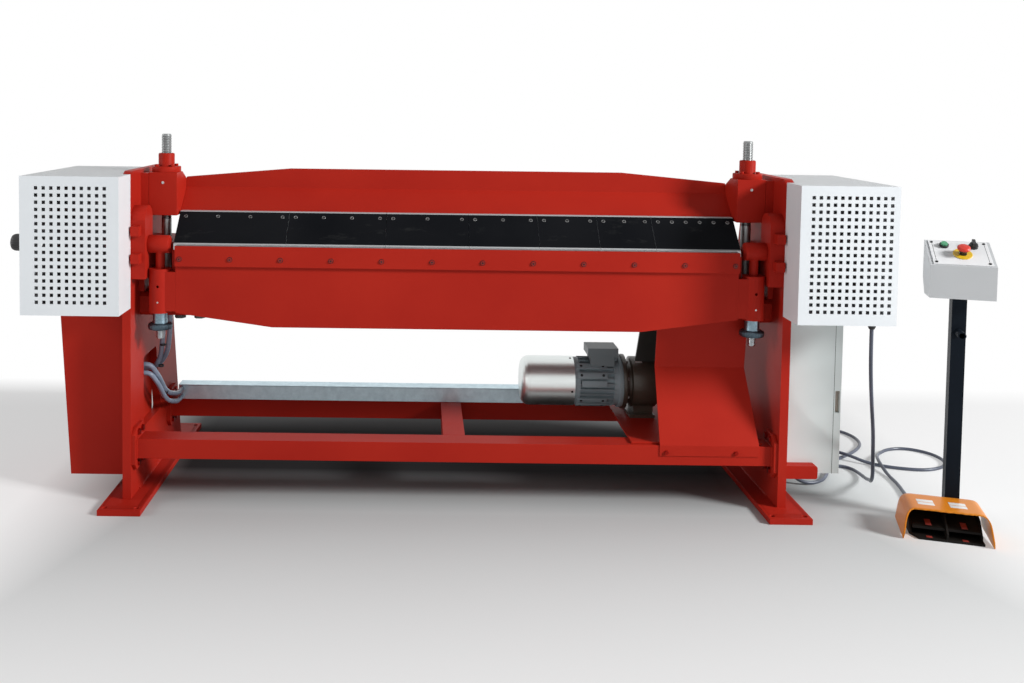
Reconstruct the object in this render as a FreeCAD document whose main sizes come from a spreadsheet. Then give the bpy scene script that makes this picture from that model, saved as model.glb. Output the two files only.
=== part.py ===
import FreeCAD, Part
import Sketcher
import math
import os
from FreeCAD import Placement, Rotation, Vector

# A motor-driven sheet metal folder on two side frames, with its control pedestal.
# Millimetres. +Z is up, the operator stands at -Y, +X is the operator's right.
# The origin is on the floor, at the centre of the eight anchor holes.

SIZES = {
    # Working width and side frames
    "work_length": 2020,
    "frame_gap": 2292,
    "frame_plate": 30,
    "frame_top": 1186,
    "frame_front": 385,
    "frame_back_low": 360,
    "frame_back_high": 70,
    "frame_nose_radius": 45,
    # Cut-out of the left side frame
    "window_front": 218,
    "window_back_high": -45,
    "window_back_low": 25,
    "window_low": 228,
    "window_high": 490,
    "window_radius": 16,
    # Foot plates and their anchor holes
    "foot_length": 970,
    "foot_width": 150,
    "foot_thickness": 20,
    "anchor_hole": 18,
    "anchor_span": 112,
    "anchor_reach": 916,
    # Stretchers
    "stretcher_depth": 90,
    "stretcher_height": 70,
    "stretcher_low": 160,
    "stretcher_wall": 6,
    "front_stretcher_front": 362,
    "rear_stretcher_front": 136,
    "cross_width": 80,
    "end_flange": 14,
    "end_flange_margin": 18,
    "end_flange_rise": 42,
    "end_flange_chamfer": 24,
    "flange_bolt_across": 20,
    "flange_bolt_head": 8,
    "motor_plate_start": 632,
    "motor_plate_end": 1100,
    "motor_plate_front": 345,
    "motor_plate_back": 200,
    "motor_plate": 8,
    # Bend line, lower beam and its blade
    "bend_height": 925,
    "bend_setback": 330,
    "bed_front": 325,
    "bed_back": 20,
    "bed_front_low": 700,
    "bed_rear_low": 740,
    "bed_plate_low": 885,
    "bed_web": 25,
    "bed_rib": 12,
    "bed_rib_pitch": 374,
    "bed_end_plate": 20,
    "bed_blade_width": 60,
    "bed_blade_thickness": 20,
    "bed_notch_margin": 5,
    # Upper beam and its blades
    "clamp_gap": 0.5,
    "blade_rise": 108,
    "blade_thickness": 28,
    "blade_set": 5,
    "blade_seam": 1,
    "beam_top": 1185,
    "beam_end_top": 1150,
    "beam_straight": 1250,
    "beam_web_front": 105,
    "beam_web": 22,
    "beam_web_foot": 1112,
    "beam_web_heel": 1100,
    "beam_heel": 150,
    "beam_flange_low": 1012,
    "beam_flange": 24,
    "beam_back": 30,
    "beam_throat": 172,
    "beam_foot_back": 254,
    "rib_thickness": 12,
    "rib_top": 1122,
    "rib_pitch": 298,
    # End blocks, guide strips and clamping spindles
    "block_width": 102,
    "block_front": 255,
    "block_back": 85,
    "block_low": 1019,
    "block_top": 1175,
    "block_slope_start": 168,
    "block_slope_end": 1138,
    "guide_gap": 0.5,
    "guide_strip": 28.5,
    "guide_low": 990,
    "guide_high": 1172,
    "guide_back": 145,
    "spindle_radius": 18,
    "spindle_setback": 200,
    "spindle_top": 1316,
    "spindle_low": 708,
    "spindle_clearance": 4,
    "nut_flange_radius": 52,
    "nut_flange": 20,
    "nut_collar_radius": 29,
    "nut_collar": 48,
    "nut_bolt_reach": 29,
    "nut_bolt_radius": 7,
    "nut_bolt_head": 8,
    "running_gap": 0.3,
    "clamp_shaft_radius": 15,
    "clamp_shaft_height": 686,
    "clamp_shaft_end": 1000,
    "clamp_shaft_start": 1216,
    "mitre_box_length": 226,
    "mitre_box_front": 270,
    "mitre_box_back": 130,
    "mitre_box_low": 655,
    "mitre_box_high": 740,
    "mitre_box_chamfer": 14,
    "mitre_bolt_across": 36,
    "mitre_bolt_head": 20,
    "mitre_bolt_inset": 23,
    "mitre_bolt_pitch": 72,
    # Pivots and fold arms
    "pivot_radius": 32,
    "journal_radius": 25,
    "journal_reach": 100,
    "hinge_plate": 50,
    "hinge_plate_depth": 100,
    "hinge_plate_low": 806,
    "hinge_plate_top": 1063,
    "hinge_boss_low": 864,
    "hinge_boss_pitch": 97,
    "hinge_boss": 34,
    "hinge_boss_reach": 30,
    "hinge_boss_gap": 6,
    "hinge_screw_radius": 7,
    "hinge_screw_head": 5,
    "hub_length": 76,
    "rod_shift": 2,
    "rod_radius": 16,
    "rod_thread_radius": 14,
    "rod_thread_top": 684,
    "rod_end": 587,
    # Folding beam and its height adjusters
    "fold_gap": 1,
    "apron_thickness": 30,
    "apron_half": 995,
    "apron_end_low": 684,
    "apron_low": 637,
    "apron_flat_half": 652,
    "fold_bar_height": 24,
    "strip_height": 72,
    "strip_thickness": 12,
    "strip_screw_radius": 7,
    "strip_screw_head": 4,
    "strip_screw_pitch": 178,
    "strip_screw_count": 12,
    "strip_screw_height": 878,
    "sleeve_radius": 39,
    "sleeve_low": 682,
    "sleeve_top": 839,
    "sleeve_pin_radius": 5,
    "sleeve_pin_drop": 61,
    "lug_low": 690,
    "lug_top": 830,
    "hand_nut_radius": 43,
    "hand_nut_rim": 24,
    "hand_nut_neck_radius": 26.5,
    "hand_nut_neck": 38,
    "hand_nut_grips": 14,
    "hand_nut_grip_radius": 3.5,
    # Folding drive
    "gear_module": 6,
    "gear_teeth": 56,
    "pinion_teeth": 14,
    "pressure_angle": 25,
    "tooth_tip": 5.1,
    "tooth_root": 6.6,
    "tooth_backlash": 0.5,
    "gear_face": 45,
    "gear_offset": 49,
    "gear_hub_radius": 45,
    "gear_window_radius": 27,
    "gear_window_reach": 104,
    "fold_shaft_radius": 15,
    "fold_shaft_back": 157,
    "fold_shaft_inset": 8,
    "fold_shaft_overhang": 6,
    "chain_case_start": 791,
    "chain_case_end": 820,
    "chain_case_low_radius": 85,
    "chain_case_high_radius": 50,
    "chain_case_hanger": 70,
    "carrier_front": 20,
    "carrier_plate": 12,
    "carrier_low": 400,
    "carrier_low_start": 703,
    "carrier_high": 740,
    "carrier_high_start": 750,
    "carrier_top": 860,
    "carrier_overlap": 10,
    # Motor and gearbox
    "motor_setback": 20,
    "motor_height": 358,
    "motor_radius": 95,
    "motor_core_radius": 82,
    "motor_fins": 28,
    "motor_fin": 3,
    "motor_rim": 20.6,
    "motor_start": 471,
    "motor_end": 643,
    "motor_flange_radius": 100,
    "fan_cover_start": 266,
    "fan_cover_dome": 34,
    "gearbox_start": 657,
    "gearbox_bell_radius": 105,
    "gearbox_bell": 15,
    "gearbox_neck_radius": 84,
    "gearbox_neck_end": 34,
    "gearbox_radius": 97,
    "gearbox_foot": 12,
    "gearbox_foot_start": 682,
    "gearbox_foot_front": 88,
    "gearbox_foot_back": 98,
    "gearbox_column": 52,
    "terminal_start": 520,
    "terminal_end": 637,
    "terminal_low": 421,
    "terminal_high": 503,
    "terminal_lid": 30,
    "terminal_inset": 12,
    "terminal_front": 75,
    "terminal_back": 35,
    # Covers, drive box and cabinet
    "cover_outer": 1480,
    "cover_front": 524,
    "cover_back": 50,
    "cover_low": 704,
    "cover_top": 1176,
    "cover_screw_inset": 13,
    "cover_screw_back": 49,
    "cover_screw_pitch": 102.5,
    "cover_screw_radius": 6,
    "cover_screw_head": 4,
    "sheet_wall": 2,
    "hole_side": 12,
    "hole_rows": 17,
    "hole_row_pitch": 24.2,
    "hole_low": 749,
    "right_hole_columns": 12,
    "right_hole_start": 1183,
    "right_hole_pitch": 24,
    "left_hole_columns": 10,
    "left_hole_start": 1188,
    "left_hole_pitch": 25.6,
    "box_outer_high": 1429,
    "box_outer_low": 1391,
    "box_front": 290,
    "box_back": 5,
    "box_low": 75,
    "box_wall": 4,
    "cabinet_outer": 1375,
    "cabinet_back": 60,
    "cabinet_low": 112,
    "cabinet_top": 700,
    "door_thickness": 25,
    "door_knuckle_radius": 6,
    "door_knuckle": 50,
    "door_leaf": 20,
    "door_leaf_thickness": 3,
    "handle_low": 335,
    "handle_high": 415,
    "handle_depth": 14,
    "handle_margin": 4,
    "lock_height": 375,
    "lock_inset": 32,
    "lock_radius": 10,
    "lock_head_radius": 14,
    "lock_seat": 14,
    "lock_length": 22,
    "lock_cam": 3,
    "lock_cam_width": 14,
    "lock_slot": 3,
    "bracket_reach": 132,
    "bracket_low": 104,
    "bracket_rise": 47,
    "bracket_depth": 40,
    "bracket_radius": 8,
    "knob_radius": 30.5,
    "knob_length": 62,
    "knob_neck_radius": 15,
    "knob_end": 1583,
    "knob_round": 8,
    "knob_collar": 18,
    "knob_play": 12,
    # Cable trunking and conduits
    "duct_side": 60,
    "duct_start": 1102,
    "duct_end": 620,
    "duct_lid": 4,
    "conduit_radius": 9,
    # Chain guard
    "guard_start": 730,
    "guard_end": 1056,
    "guard_flare": 28,
    "guard_sheet": 3,
    "guard_low": 194,
    "guard_bend": 232,
    "guard_fold_height": 488,
    "guard_fold_setback": 254,
    "guard_top_setback": 285,
    "guard_lip_end": 1005,
    "guard_lip_front": 312,
    "guard_bolt_across": 13,
    "guard_bolt_head": 6,
    "guard_bolt_rise": 13,
    "guard_bolt_left": 24,
    "guard_bolt_right": 54,
    # Pedestal
    "pedestal_x": 1722,
    "pedestal_y": -455,
    "pedestal_turn": -16,
    "post_side": 46,
    "post_wall": 3,
    "peg_radius": 13,
    "peg_bore": 9.5,
    "peg_height": 675,
    "peg_length": 55,
    "box_width": 205,
    "box_face": 65,
    "box_rear": 60,
    "box_bottom": 797,
    "panel_low": 910,
    "panel_high": 980,
    "box_rear_low": 850,
    "box_heel": 25,
    "panel_plate": 3,
    "panel_margin": 10,
    # Controls on the panel
    "control_ring_radius": 15,
    "control_ring": 8,
    "stop_ring_radius": 30,
    "stop_ring": 3,
    "start_radius": 11,
    "start_length": 21.5,
    "control_depth": 8,
    "stop_stem_radius": 10,
    "stop_stem": 24,
    "stop_neck_radius": 13,
    "stop_cap_radius": 20.5,
    "stop_cap_low": 34,
    "stop_length": 46,
    "stop_depth": 12,
    "selector_stem_radius": 8,
    "selector_stem": 18.3,
    "selector_cap_radius": 13,
    "selector_cap": 4.7,
    "selector_grip": 10,
    "selector_grip_length": 28,
    "selector_grip_height": 12,
    "selector_depth": 10,
    "control_bore_depth": 30,
    # Pedal
    "pedal_shift": -40,
    "pedal_width": 254,
    "pedal_top_width": 222,
    "pedal_height": 98,
    "pedal_shoulder": 78,
    "pedal_front": 190,
    "pedal_rear": 26,
    "pedal_tail": 12,
    "pedal_tail_start": 6,
    "pedal_sheet": 4,
    "pedal_flare": 11,
    "pedal_face_low": 14,
    "pedal_face_high": 26,
    "pedal_plate": 8,
    "pedal_base_width": 224,
    "pedal_base_front": 176,
    "pedal_corner": 24,
    "pedal_corner_back": 40,
    "pedal_post_room": 8,
    "pedal_wall": 6,
    "pedal_wall_round": 16,
    "pedal_wall_shoulder": 20,
    "divider_start": 4,
    "divider_low": 18,
    "divider_crest": 86,
    "cheek_start": 30,
    "cheek_low": 10,
    "cheek_crest": 102,
    "cheek_rise": 4,
    "cheek_tail": 20,
    "treadle_pivot_setback": 56,
    "treadle_pivot_height": 56,
    "treadle_hub_radius": 9,
    "treadle_pin_radius": 4,
    "treadle_front": 152,
    "treadle_front_height": 36,
    "treadle_thickness": 8,
    "treadle_gap": 1,
    # Cables
    "cable_radius": 6.5,
    "gland_radius": 13,
    "gland_length": 26,
}


class Size:
    """A length, with the expression on the dimension sheet that gives it."""

    def __init__(self, value, text):
        self.value = value
        self.text = text

    def join(self, sign, other, value):
        return Size(value, f"({self.text} {sign} {other.text})")

    def __add__(self, other):
        other = as_size(other)
        return self.join("+", other, self.value + other.value)

    def __sub__(self, other):
        other = as_size(other)
        return self.join("-", other, self.value - other.value)

    def __mul__(self, factor):
        factor = as_size(factor)
        return self.join("*", factor, self.value * factor.value)

    def __truediv__(self, divisor):
        divisor = as_size(divisor)
        return self.join("/", divisor, self.value / divisor.value)

    def __neg__(self):
        return Size(-self.value, f"(-{self.text})")

    def __float__(self):
        return self.value


def as_size(thing):
    if isinstance(thing, Size):
        return thing
    return Size(float(thing), f"({float(thing)})")


class Dimensions:
    """The named cells of the sheet, each as a Size."""


doc = FreeCAD.newDocument("sheet_metal_folder")
sheet = doc.addObject("Spreadsheet::Sheet", "Dim")
for row, (alias, number) in enumerate(SIZES.items(), 1):
    sheet.set(f"A{row}", alias)
    sheet.set(f"B{row}", str(number))
    sheet.setAlias(f"B{row}", alias)
doc.recompute()
d = Dimensions()
for alias in SIZES:
    setattr(d, alias, Size(float(sheet.get(alias)), "Dim." + alias))

NOTHING = as_size(0)
PART_TURNS = {
    "x": Rotation(Vector(0, 1, 0), 90),
    "y": Rotation(Vector(1, 0, 0), -90),
    "z": Rotation(),
}
nodes = {}


# Building blocks

def bind(thing, path, size):
    thing.setExpression(path, as_size(size).text)


def place(thing, point):
    for axis, size in zip("xyz", point):
        bind(thing, f"Placement.Base.{axis}", size)


def box(name, low, high):
    """A block between its lowest and its highest corner."""
    block = doc.addObject("Part::Box", name)
    for side, start, end in zip(("Length", "Width", "Height"), low, high):
        bind(block, side, as_size(end) - start)
    place(block, low)
    return block


def rod(name, axis, start, radius, length):
    """A round bar from its start point along +x, +y or +z."""
    bar = doc.addObject("Part::Cylinder", name)
    bind(bar, "Radius", radius)
    bind(bar, "Height", length)
    bar.Placement = Placement(Vector(), PART_TURNS[axis])
    place(bar, start)
    return bar


def hexagon(name, axis, start, across, length):
    """A six-sided bar, such as a bolt head, from its start point along +x, +y or +z."""
    prism = doc.addObject("Part::Prism", name)
    prism.Polygon = 6
    bind(prism, "Circumradius", as_size(across) / math.sqrt(3))
    bind(prism, "Height", length)
    prism.Placement = Placement(Vector(), PART_TURNS[axis])
    place(prism, start)
    return prism


def fuse(name, pieces):
    whole = doc.addObject("Part::MultiFuse", name)
    whole.Shapes = pieces
    return whole


def cut(name, base, tools):
    tool = tools[0] if len(tools) == 1 else fuse(f"{name}_cutters", tools)
    remainder = doc.addObject("Part::Cut", name)
    remainder.Base = base
    remainder.Tool = tool
    return remainder


def group(name, pieces):
    """Several separate solids that share one node."""
    compound = doc.addObject("Part::Compound", name)
    compound.Links = pieces
    return compound


def mirrored(name, source):
    """The same piece on the other side of the machine's centre plane."""
    mirror = doc.addObject("Part::Mirroring", name)
    mirror.Source = source
    mirror.Base = Vector()
    mirror.Normal = Vector(1, 0, 0)
    return mirror


def shape_part(name, shape):
    """A piece whose shape comes from a formula in this file."""
    feature = doc.addObject("Part::Feature", name)
    feature.Shape = shape
    return feature


def origin_item(body, role):
    for item in body.Origin.OriginFeatures:
        if item.Role == role:
            return item
    raise RuntimeError(f"{body.Name} has no {role}")


def draw_outline(sketch, corners):
    """A closed outline of straight lines, each corner held by its two distances from the origin."""
    corners = [(as_size(u), as_size(v)) for u, v in corners]
    points = [Vector(float(u), float(v), 0) for u, v in corners]
    first = sketch.GeometryCount
    count = len(points)
    for index in range(count):
        sketch.addGeometry(Part.LineSegment(points[index], points[(index + 1) % count]), False)
    for index in range(count):
        following = first + (index + 1) % count
        sketch.addConstraint(Sketcher.Constraint("Coincident", first + index, 2, following, 1))
    for index, corner in enumerate(corners):
        line = first + index
        for kind, axis_line, size in (("DistanceX", -2, corner[0]), ("DistanceY", -1, corner[1])):
            if size.text == NOTHING.text:
                sketch.addConstraint(Sketcher.Constraint("PointOnObject", line, 1, axis_line))
                continue
            number = sketch.addConstraint(Sketcher.Constraint(kind, -1, 1, line, 1, size.value))
            bind(sketch, f"Constraints[{number}]", size)


def sketch_on(body, plane, outlines, offset=NOTHING):
    sketch = body.newObject("Sketcher::SketchObject", f"{body.Name}_outline")
    sketch.AttachmentSupport = (origin_item(body, plane), [""])
    sketch.MapMode = "FlatFace"
    bind(sketch, "AttachmentOffset.Base.z", offset)
    for corners in outlines:
        draw_outline(sketch, corners)
    return sketch


def profile(name, corners, start, length, plane="YZ_Plane", holes=()):
    """A body padded from an outline. On the YZ plane it grows from x = start towards +x, on the
    XZ plane from y = -start towards -y, and on the XY plane from z = start upwards."""
    body = doc.addObject("PartDesign::Body", name)
    sketch = sketch_on(body, plane, [corners, *holes], start)
    pad = body.newObject("PartDesign::Pad", f"{name}_pad")
    pad.Profile = sketch
    bind(pad, "Length", length)
    body.Tip = pad
    return body


def turned(name, outline, base, axis="z"):
    """A turned body. The outline gives (radius, height) pairs about the axis through base."""
    body = doc.addObject("PartDesign::Body", name)
    sketch = sketch_on(body, "XZ_Plane", [outline])
    revolution = body.newObject("PartDesign::Revolution", f"{name}_turn")
    revolution.Profile = sketch
    revolution.ReferenceAxis = (origin_item(body, "Z_Axis"), [""])
    revolution.Angle = 360
    body.Tip = revolution
    body.Placement = Placement(Vector(), PART_TURNS[axis])
    place(body, base)
    return body


def round_edges(body, radius, wanted):
    """Round the straight edges of a body for which wanted(middle, direction) is true."""
    doc.recompute()
    names = []
    for number, edge in enumerate(body.Tip.Shape.Edges, 1):
        if not isinstance(edge.Curve, Part.Line):
            continue
        ends = [vertex.Point for vertex in edge.Vertexes]
        direction = (ends[1] - ends[0]).normalize()
        middle = (ends[0] + ends[1]) * 0.5
        if wanted(middle, direction):
            names.append(f"Edge{number}")
    if not names:
        raise RuntimeError(f"{body.Name} has no edge to round")
    solid = body.Tip
    fillet = body.newObject("PartDesign::Fillet", f"{body.Name}_round")
    fillet.Base = (solid, names)
    bind(fillet, "Radius", radius)
    body.Tip = fillet
    return body


def along_x(direction):
    return abs(direction.x) > 0.999


def near(size, number):
    return abs(float(size) - number) < 0.01


def keep(name, thing):
    """Name a finished piece of the machine."""
    thing.Label = name
    nodes[name] = thing
    return thing


# Places that several pieces share

frame_in = d.frame_gap / 2
frame_out = frame_in + d.frame_plate
frame_middle = frame_in + d.frame_plate / 2
bend_y = -d.bend_setback
bend_z = d.bend_height
work_end = d.work_length / 2
stretcher_top = d.stretcher_low + d.stretcher_height
motor_plate_top = stretcher_top + d.motor_plate
front_stretcher_back = -d.front_stretcher_front + d.stretcher_depth
block_out = frame_in - d.guide_strip - d.guide_gap
block_in = block_out - d.block_width
spindle_x = block_in + d.block_width / 2
spindle_y = -d.spindle_setback
hinge_in = frame_in - d.hinge_plate
hinge_front = bend_y - d.hinge_plate_depth / 2
hinge_back = bend_y + d.hinge_plate_depth / 2
hub_in = hinge_in - d.hub_length
rod_x = hinge_in - d.hub_length / 2 - d.rod_shift
journal_end = frame_in + d.journal_reach
journal_bore = d.journal_radius + d.running_gap
gear_distance = d.gear_module * (d.gear_teeth + d.pinion_teeth) / 2
fold_shaft_y = -d.fold_shaft_back
fold_shaft_z = Size(
    float(bend_z) - math.sqrt(float(gear_distance) ** 2 - float(fold_shaft_y - bend_y) ** 2),
    f"({bend_z.text} - sqrt({gear_distance.text} ^ 2 - {(fold_shaft_y - bend_y).text} ^ 2))",
)
fold_shaft_bore = d.fold_shaft_radius + d.running_gap
clamp_shaft_bore = d.clamp_shaft_radius + d.running_gap
blade_tip_z = bend_z + d.clamp_gap
motor_y = d.motor_setback
motor_z = d.motor_height
duct_front = d.rear_stretcher_front
apron_back = bend_y - d.fold_gap
apron_front = apron_back - d.apron_thickness
strip_front = apron_front - d.strip_thickness
lock_y = -d.box_front + d.lock_inset


# Foundation: foot plates, side frames, stretchers

def make_foot_plates():
    low = (frame_middle - d.foot_width / 2, -d.foot_length / 2, 0)
    high = (frame_middle + d.foot_width / 2, d.foot_length / 2, d.foot_thickness)
    holes = []
    for side in (-1, 1):
        for end in (-1, 1):
            spot = (frame_middle + d.anchor_span / 2 * side, d.anchor_reach / 2 * end, -1)
            holes.append(rod("anchor_hole", "z", spot, d.anchor_hole / 2, d.foot_thickness + 2))
    right = cut("right_foot", box("foot_blank", low, high), holes)
    keep("foot_plates", group("feet", [right, mirrored("left_foot", right)]))


def side_plate(name, start, window):
    outline = [
        (-d.frame_front, d.foot_thickness),
        (-d.frame_front, d.frame_top),
        (d.frame_back_high, d.frame_top),
        (d.frame_back_low, d.foot_thickness),
    ]
    plate = profile(name, outline, start, d.frame_plate, holes=[window] if window else [])
    nose_y, nose_z = -float(d.frame_front), float(d.frame_top)
    round_edges(plate, d.frame_nose_radius, lambda middle, direction: along_x(direction)
                and near(middle.y, nose_y) and near(middle.z, nose_z))
    if window:
        spots = [(float(y), float(z)) for y, z in window]
        round_edges(plate, d.window_radius, lambda middle, direction: along_x(direction)
                    and any(near(middle.y, y) and near(middle.z, z) for y, z in spots))
    return plate


def make_side_frames():
    """The left plate has a window for the conduits; the right plate is closed."""
    window = [
        (-d.window_front, d.window_low),
        (-d.window_front, d.window_high),
        (d.window_back_high, d.window_high),
        (d.window_back_low, d.window_low),
    ]
    reach = d.frame_plate + 2
    left_holes = [
        rod("left_journal_hole", "x", (-frame_out - 1, bend_y, bend_z), journal_bore, reach),
        rod("clamp_shaft_hole", "x", (-frame_out - 1, spindle_y, d.clamp_shaft_height),
            clamp_shaft_bore, reach),
    ]
    left = side_plate("left_plate", -frame_out, window)
    keep("left_side_frame", cut("left_frame", left, left_holes))
    right_holes = [
        rod("right_journal_hole", "x", (frame_in - 1, bend_y, bend_z), journal_bore, reach),
        rod("fold_shaft_hole", "x", (frame_in - 1, fold_shaft_y, fold_shaft_z),
            fold_shaft_bore, reach),
    ]
    right = cut("right_plate_bored", side_plate("right_plate", frame_in, None), right_holes)
    bracket = profile("cabinet_bracket", [
        (frame_out, d.bracket_low),
        (frame_out + d.bracket_reach, d.bracket_low),
        (frame_out + d.bracket_reach, d.bracket_low + d.bracket_rise),
        (frame_out, d.bracket_low + d.bracket_rise),
    ], d.box_front, d.bracket_depth, plane="XZ_Plane")
    outer = float(frame_out + d.bracket_reach)
    round_edges(bracket, d.bracket_radius, lambda middle, direction: abs(direction.y) > 0.999
                and near(middle.x, outer))
    keep("right_side_frame", fuse("right_frame", [right, bracket]))


def flange_outline(front):
    """The chamfered end plate of a stretcher, in the YZ plane."""
    y0 = front - d.end_flange_margin
    y1 = front + d.stretcher_depth + d.end_flange_margin
    z0 = d.stretcher_low - d.end_flange_rise
    z1 = stretcher_top + d.end_flange_rise
    c = d.end_flange_chamfer
    return [(y0, z0 + c), (y0, z1 - c), (y0 + c, z1), (y1 - c, z1),
            (y1, z1 - c), (y1, z0 + c), (y1 - c, z0), (y0 + c, z0)]


def make_stretcher(name, front):
    end = frame_in - d.end_flange
    wall = d.stretcher_wall
    outer = box(f"{name}_outside", (-end, front, d.stretcher_low),
                (end, front + d.stretcher_depth, stretcher_top))
    inner = box(f"{name}_inside", (-end - 1, front + wall, d.stretcher_low + wall),
                (end + 1, front + d.stretcher_depth - wall, stretcher_top - wall))
    tube = cut(f"{name}_tube", outer, [inner])
    flange = profile(f"{name}_flange", flange_outline(front), end, d.end_flange)
    keep(name, fuse(f"{name}_whole", [tube, flange, mirrored(f"{name}_left_flange", flange)]))


def make_cross_member():
    """The tube between the stretchers, and the plate across them that carries the drive."""
    wall = d.stretcher_wall
    low = (-d.cross_width / 2, front_stretcher_back, d.stretcher_low)
    high = (d.cross_width / 2, d.rear_stretcher_front, stretcher_top)
    inner_low = (low[0] + wall, low[1] - 1, low[2] + wall)
    inner_high = (high[0] - wall, high[1] + 1, high[2] - wall)
    tube = cut("cross_tube", box("cross_outside", low, high),
               [box("cross_inside", inner_low, inner_high)])
    plate = box("motor_plate", (d.motor_plate_start, -d.motor_plate_front, stretcher_top),
                (d.motor_plate_end, d.motor_plate_back, motor_plate_top))
    keep("cross_member", group("cross_pieces", [tube, plate]))


def make_flange_bolts():
    """Four hexagon heads on the inner face of each stretcher flange."""
    heads = []
    for front in (-d.front_stretcher_front, d.rear_stretcher_front):
        middle = front + d.stretcher_depth / 2
        for side in (-1, 1):
            y = middle + d.stretcher_depth / 4 * side
            for z in (d.stretcher_low - d.end_flange_rise / 2, stretcher_top + d.end_flange_rise / 2):
                start = (frame_in - d.end_flange - d.flange_bolt_head, y, z)
                heads.append(hexagon("flange_bolt", "x", start, d.flange_bolt_across,
                                     d.flange_bolt_head))
    return heads + [mirrored("flange_bolt_left", head) for head in heads]


# Lower beam

def make_lower_beam():
    blade_y = bend_y + d.bed_blade_width
    blade_z = bend_z - d.bed_blade_thickness
    section = profile("bed_section", [
        (-d.bed_front, d.bed_front_low),
        (-d.bed_front, blade_z),
        (blade_y, blade_z),
        (blade_y, bend_z),
        (-d.bed_back, bend_z),
        (-d.bed_back, d.bed_rear_low),
        (-d.bed_back - d.bed_web, d.bed_rear_low),
        (-d.bed_back - d.bed_web, d.bed_plate_low),
        (-d.bed_front + d.bed_web, d.bed_plate_low),
        (-d.bed_front + d.bed_web, d.bed_front_low),
    ], -frame_in, d.frame_gap)
    notch = box("bed_notch", (work_end + d.bed_notch_margin, -d.frame_front, 0),
                (frame_in + 1, hinge_back, d.frame_top))
    spindle_hole = rod("bed_spindle_hole", "z", (spindle_x, spindle_y, d.bed_rear_low),
                       d.spindle_radius + d.spindle_clearance, bend_z)
    beam = cut("bed_notched", section, [
        notch, mirrored("bed_notch_left", notch),
        spindle_hole, mirrored("bed_spindle_hole_left", spindle_hole),
    ])
    rib_y = (-d.bed_front + d.bed_web, -d.bed_back - d.bed_web)
    ribs = []
    for station in (-2, -1, 0, 1, 2):
        x = d.bed_rib_pitch * station - d.bed_rib / 2
        ribs.append(box("bed_rib_plate", (x, rib_y[0], d.bed_rear_low),
                        (x + d.bed_rib, rib_y[1], d.bed_plate_low)))
    end_plate = cut("bed_end", box(
        "bed_end_blank", (frame_in - d.bed_end_plate, hinge_back, d.bed_rear_low + d.bed_notch_margin),
        (frame_in, rib_y[1], d.bed_plate_low)), [
        rod("bed_end_hole", "x", (hinge_in, fold_shaft_y, fold_shaft_z),
            fold_shaft_bore + d.spindle_clearance, d.hinge_plate + 1)])
    keep("lower_beam", fuse("bed", [beam, end_plate, mirrored("bed_end_left", end_plate)] + ribs))
    keep("bed_blade", box("bed_bar", (-work_end, bend_y, blade_z), (work_end, blade_y, bend_z)))


def make_hinge_plates():
    plate = profile("hinge_blank", [
        (hinge_front, d.hinge_plate_low),
        (hinge_front, d.hinge_plate_top),
        (hinge_back, d.hinge_plate_top),
        (hinge_back, d.hinge_plate_low),
    ], hinge_in, d.hinge_plate)
    top = float(d.hinge_plate_top)
    round_edges(plate, d.hinge_plate_depth / 2 - 0.5, lambda middle, direction: along_x(direction)
                and near(middle.z, top))
    bore = rod("hinge_bore", "x", (hinge_in - 1, bend_y, bend_z), journal_bore, d.hinge_plate + 2)
    bosses = []
    for z in hinge_boss_heights():
        low = (frame_in - d.hinge_boss_gap - d.hinge_boss_reach, hinge_front - d.hinge_boss_reach, z)
        bosses.append(box("hinge_boss_block", low,
                          (low[0] + d.hinge_boss_reach, hinge_front, z + d.hinge_boss)))
    right = cut("hinge_right", fuse("hinge_solid", [plate] + bosses), [bore])
    keep("hinge_plates", group("hinges", [right, mirrored("hinge_left", right)]))


def hinge_boss_heights():
    return (d.hinge_boss_low, d.hinge_boss_low + d.hinge_boss_pitch)


def make_hinge_screws():
    screws = []
    for z in hinge_boss_heights():
        spot = (frame_in - d.hinge_boss_gap, hinge_front - d.hinge_boss_reach / 2,
                z + d.hinge_boss / 2)
        screws.append(rod("hinge_screw", "x", spot, d.hinge_screw_radius, d.hinge_screw_head))
    return screws + [mirrored("hinge_screw_left", screw) for screw in screws]


# Clamping drive

def make_spindle_gearboxes():
    front, back, c = -d.mitre_box_front, -d.mitre_box_back, d.mitre_box_chamfer
    low, high = d.mitre_box_low, d.mitre_box_high
    outline = [(front, low + c), (front, high - c), (front + c, high), (back - c, high),
               (back, high - c), (back, low + c), (back - c, low), (front + c, low)]
    start = frame_in - d.mitre_box_length
    shaft_spot = (start - 1, spindle_y, d.clamp_shaft_height)

    def housing(name, shaft_hole):
        upright = rod(f"{name}_spindle_bore", "z", (spindle_x, spindle_y, d.spindle_low - 0.5),
                      d.spindle_radius + d.running_gap, high)
        return cut(name, profile(f"{name}_block", outline, start, d.mitre_box_length),
                   [upright, shaft_hole])

    right = housing("right_mitre_box", rod("right_mitre_bore", "x", shaft_spot, clamp_shaft_bore,
                                           d.clamp_shaft_end - start + 2))
    through = housing("through_mitre_box", rod("left_mitre_bore", "x", shaft_spot,
                                               clamp_shaft_bore, d.mitre_box_length + 2))
    keep("spindle_gearboxes", group("mitre_boxes", [right, mirrored("left_mitre_box", through)]))
    bolts = []
    for inset in (d.mitre_bolt_inset, d.mitre_bolt_inset + d.mitre_bolt_pitch):
        spot = (start + inset, spindle_y, low - d.mitre_bolt_head)
        bolts.append(hexagon("mitre_bolt", "z", spot, d.mitre_bolt_across, d.mitre_bolt_head))
    return bolts + [mirrored("mitre_bolt_left", bolt) for bolt in bolts]


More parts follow.
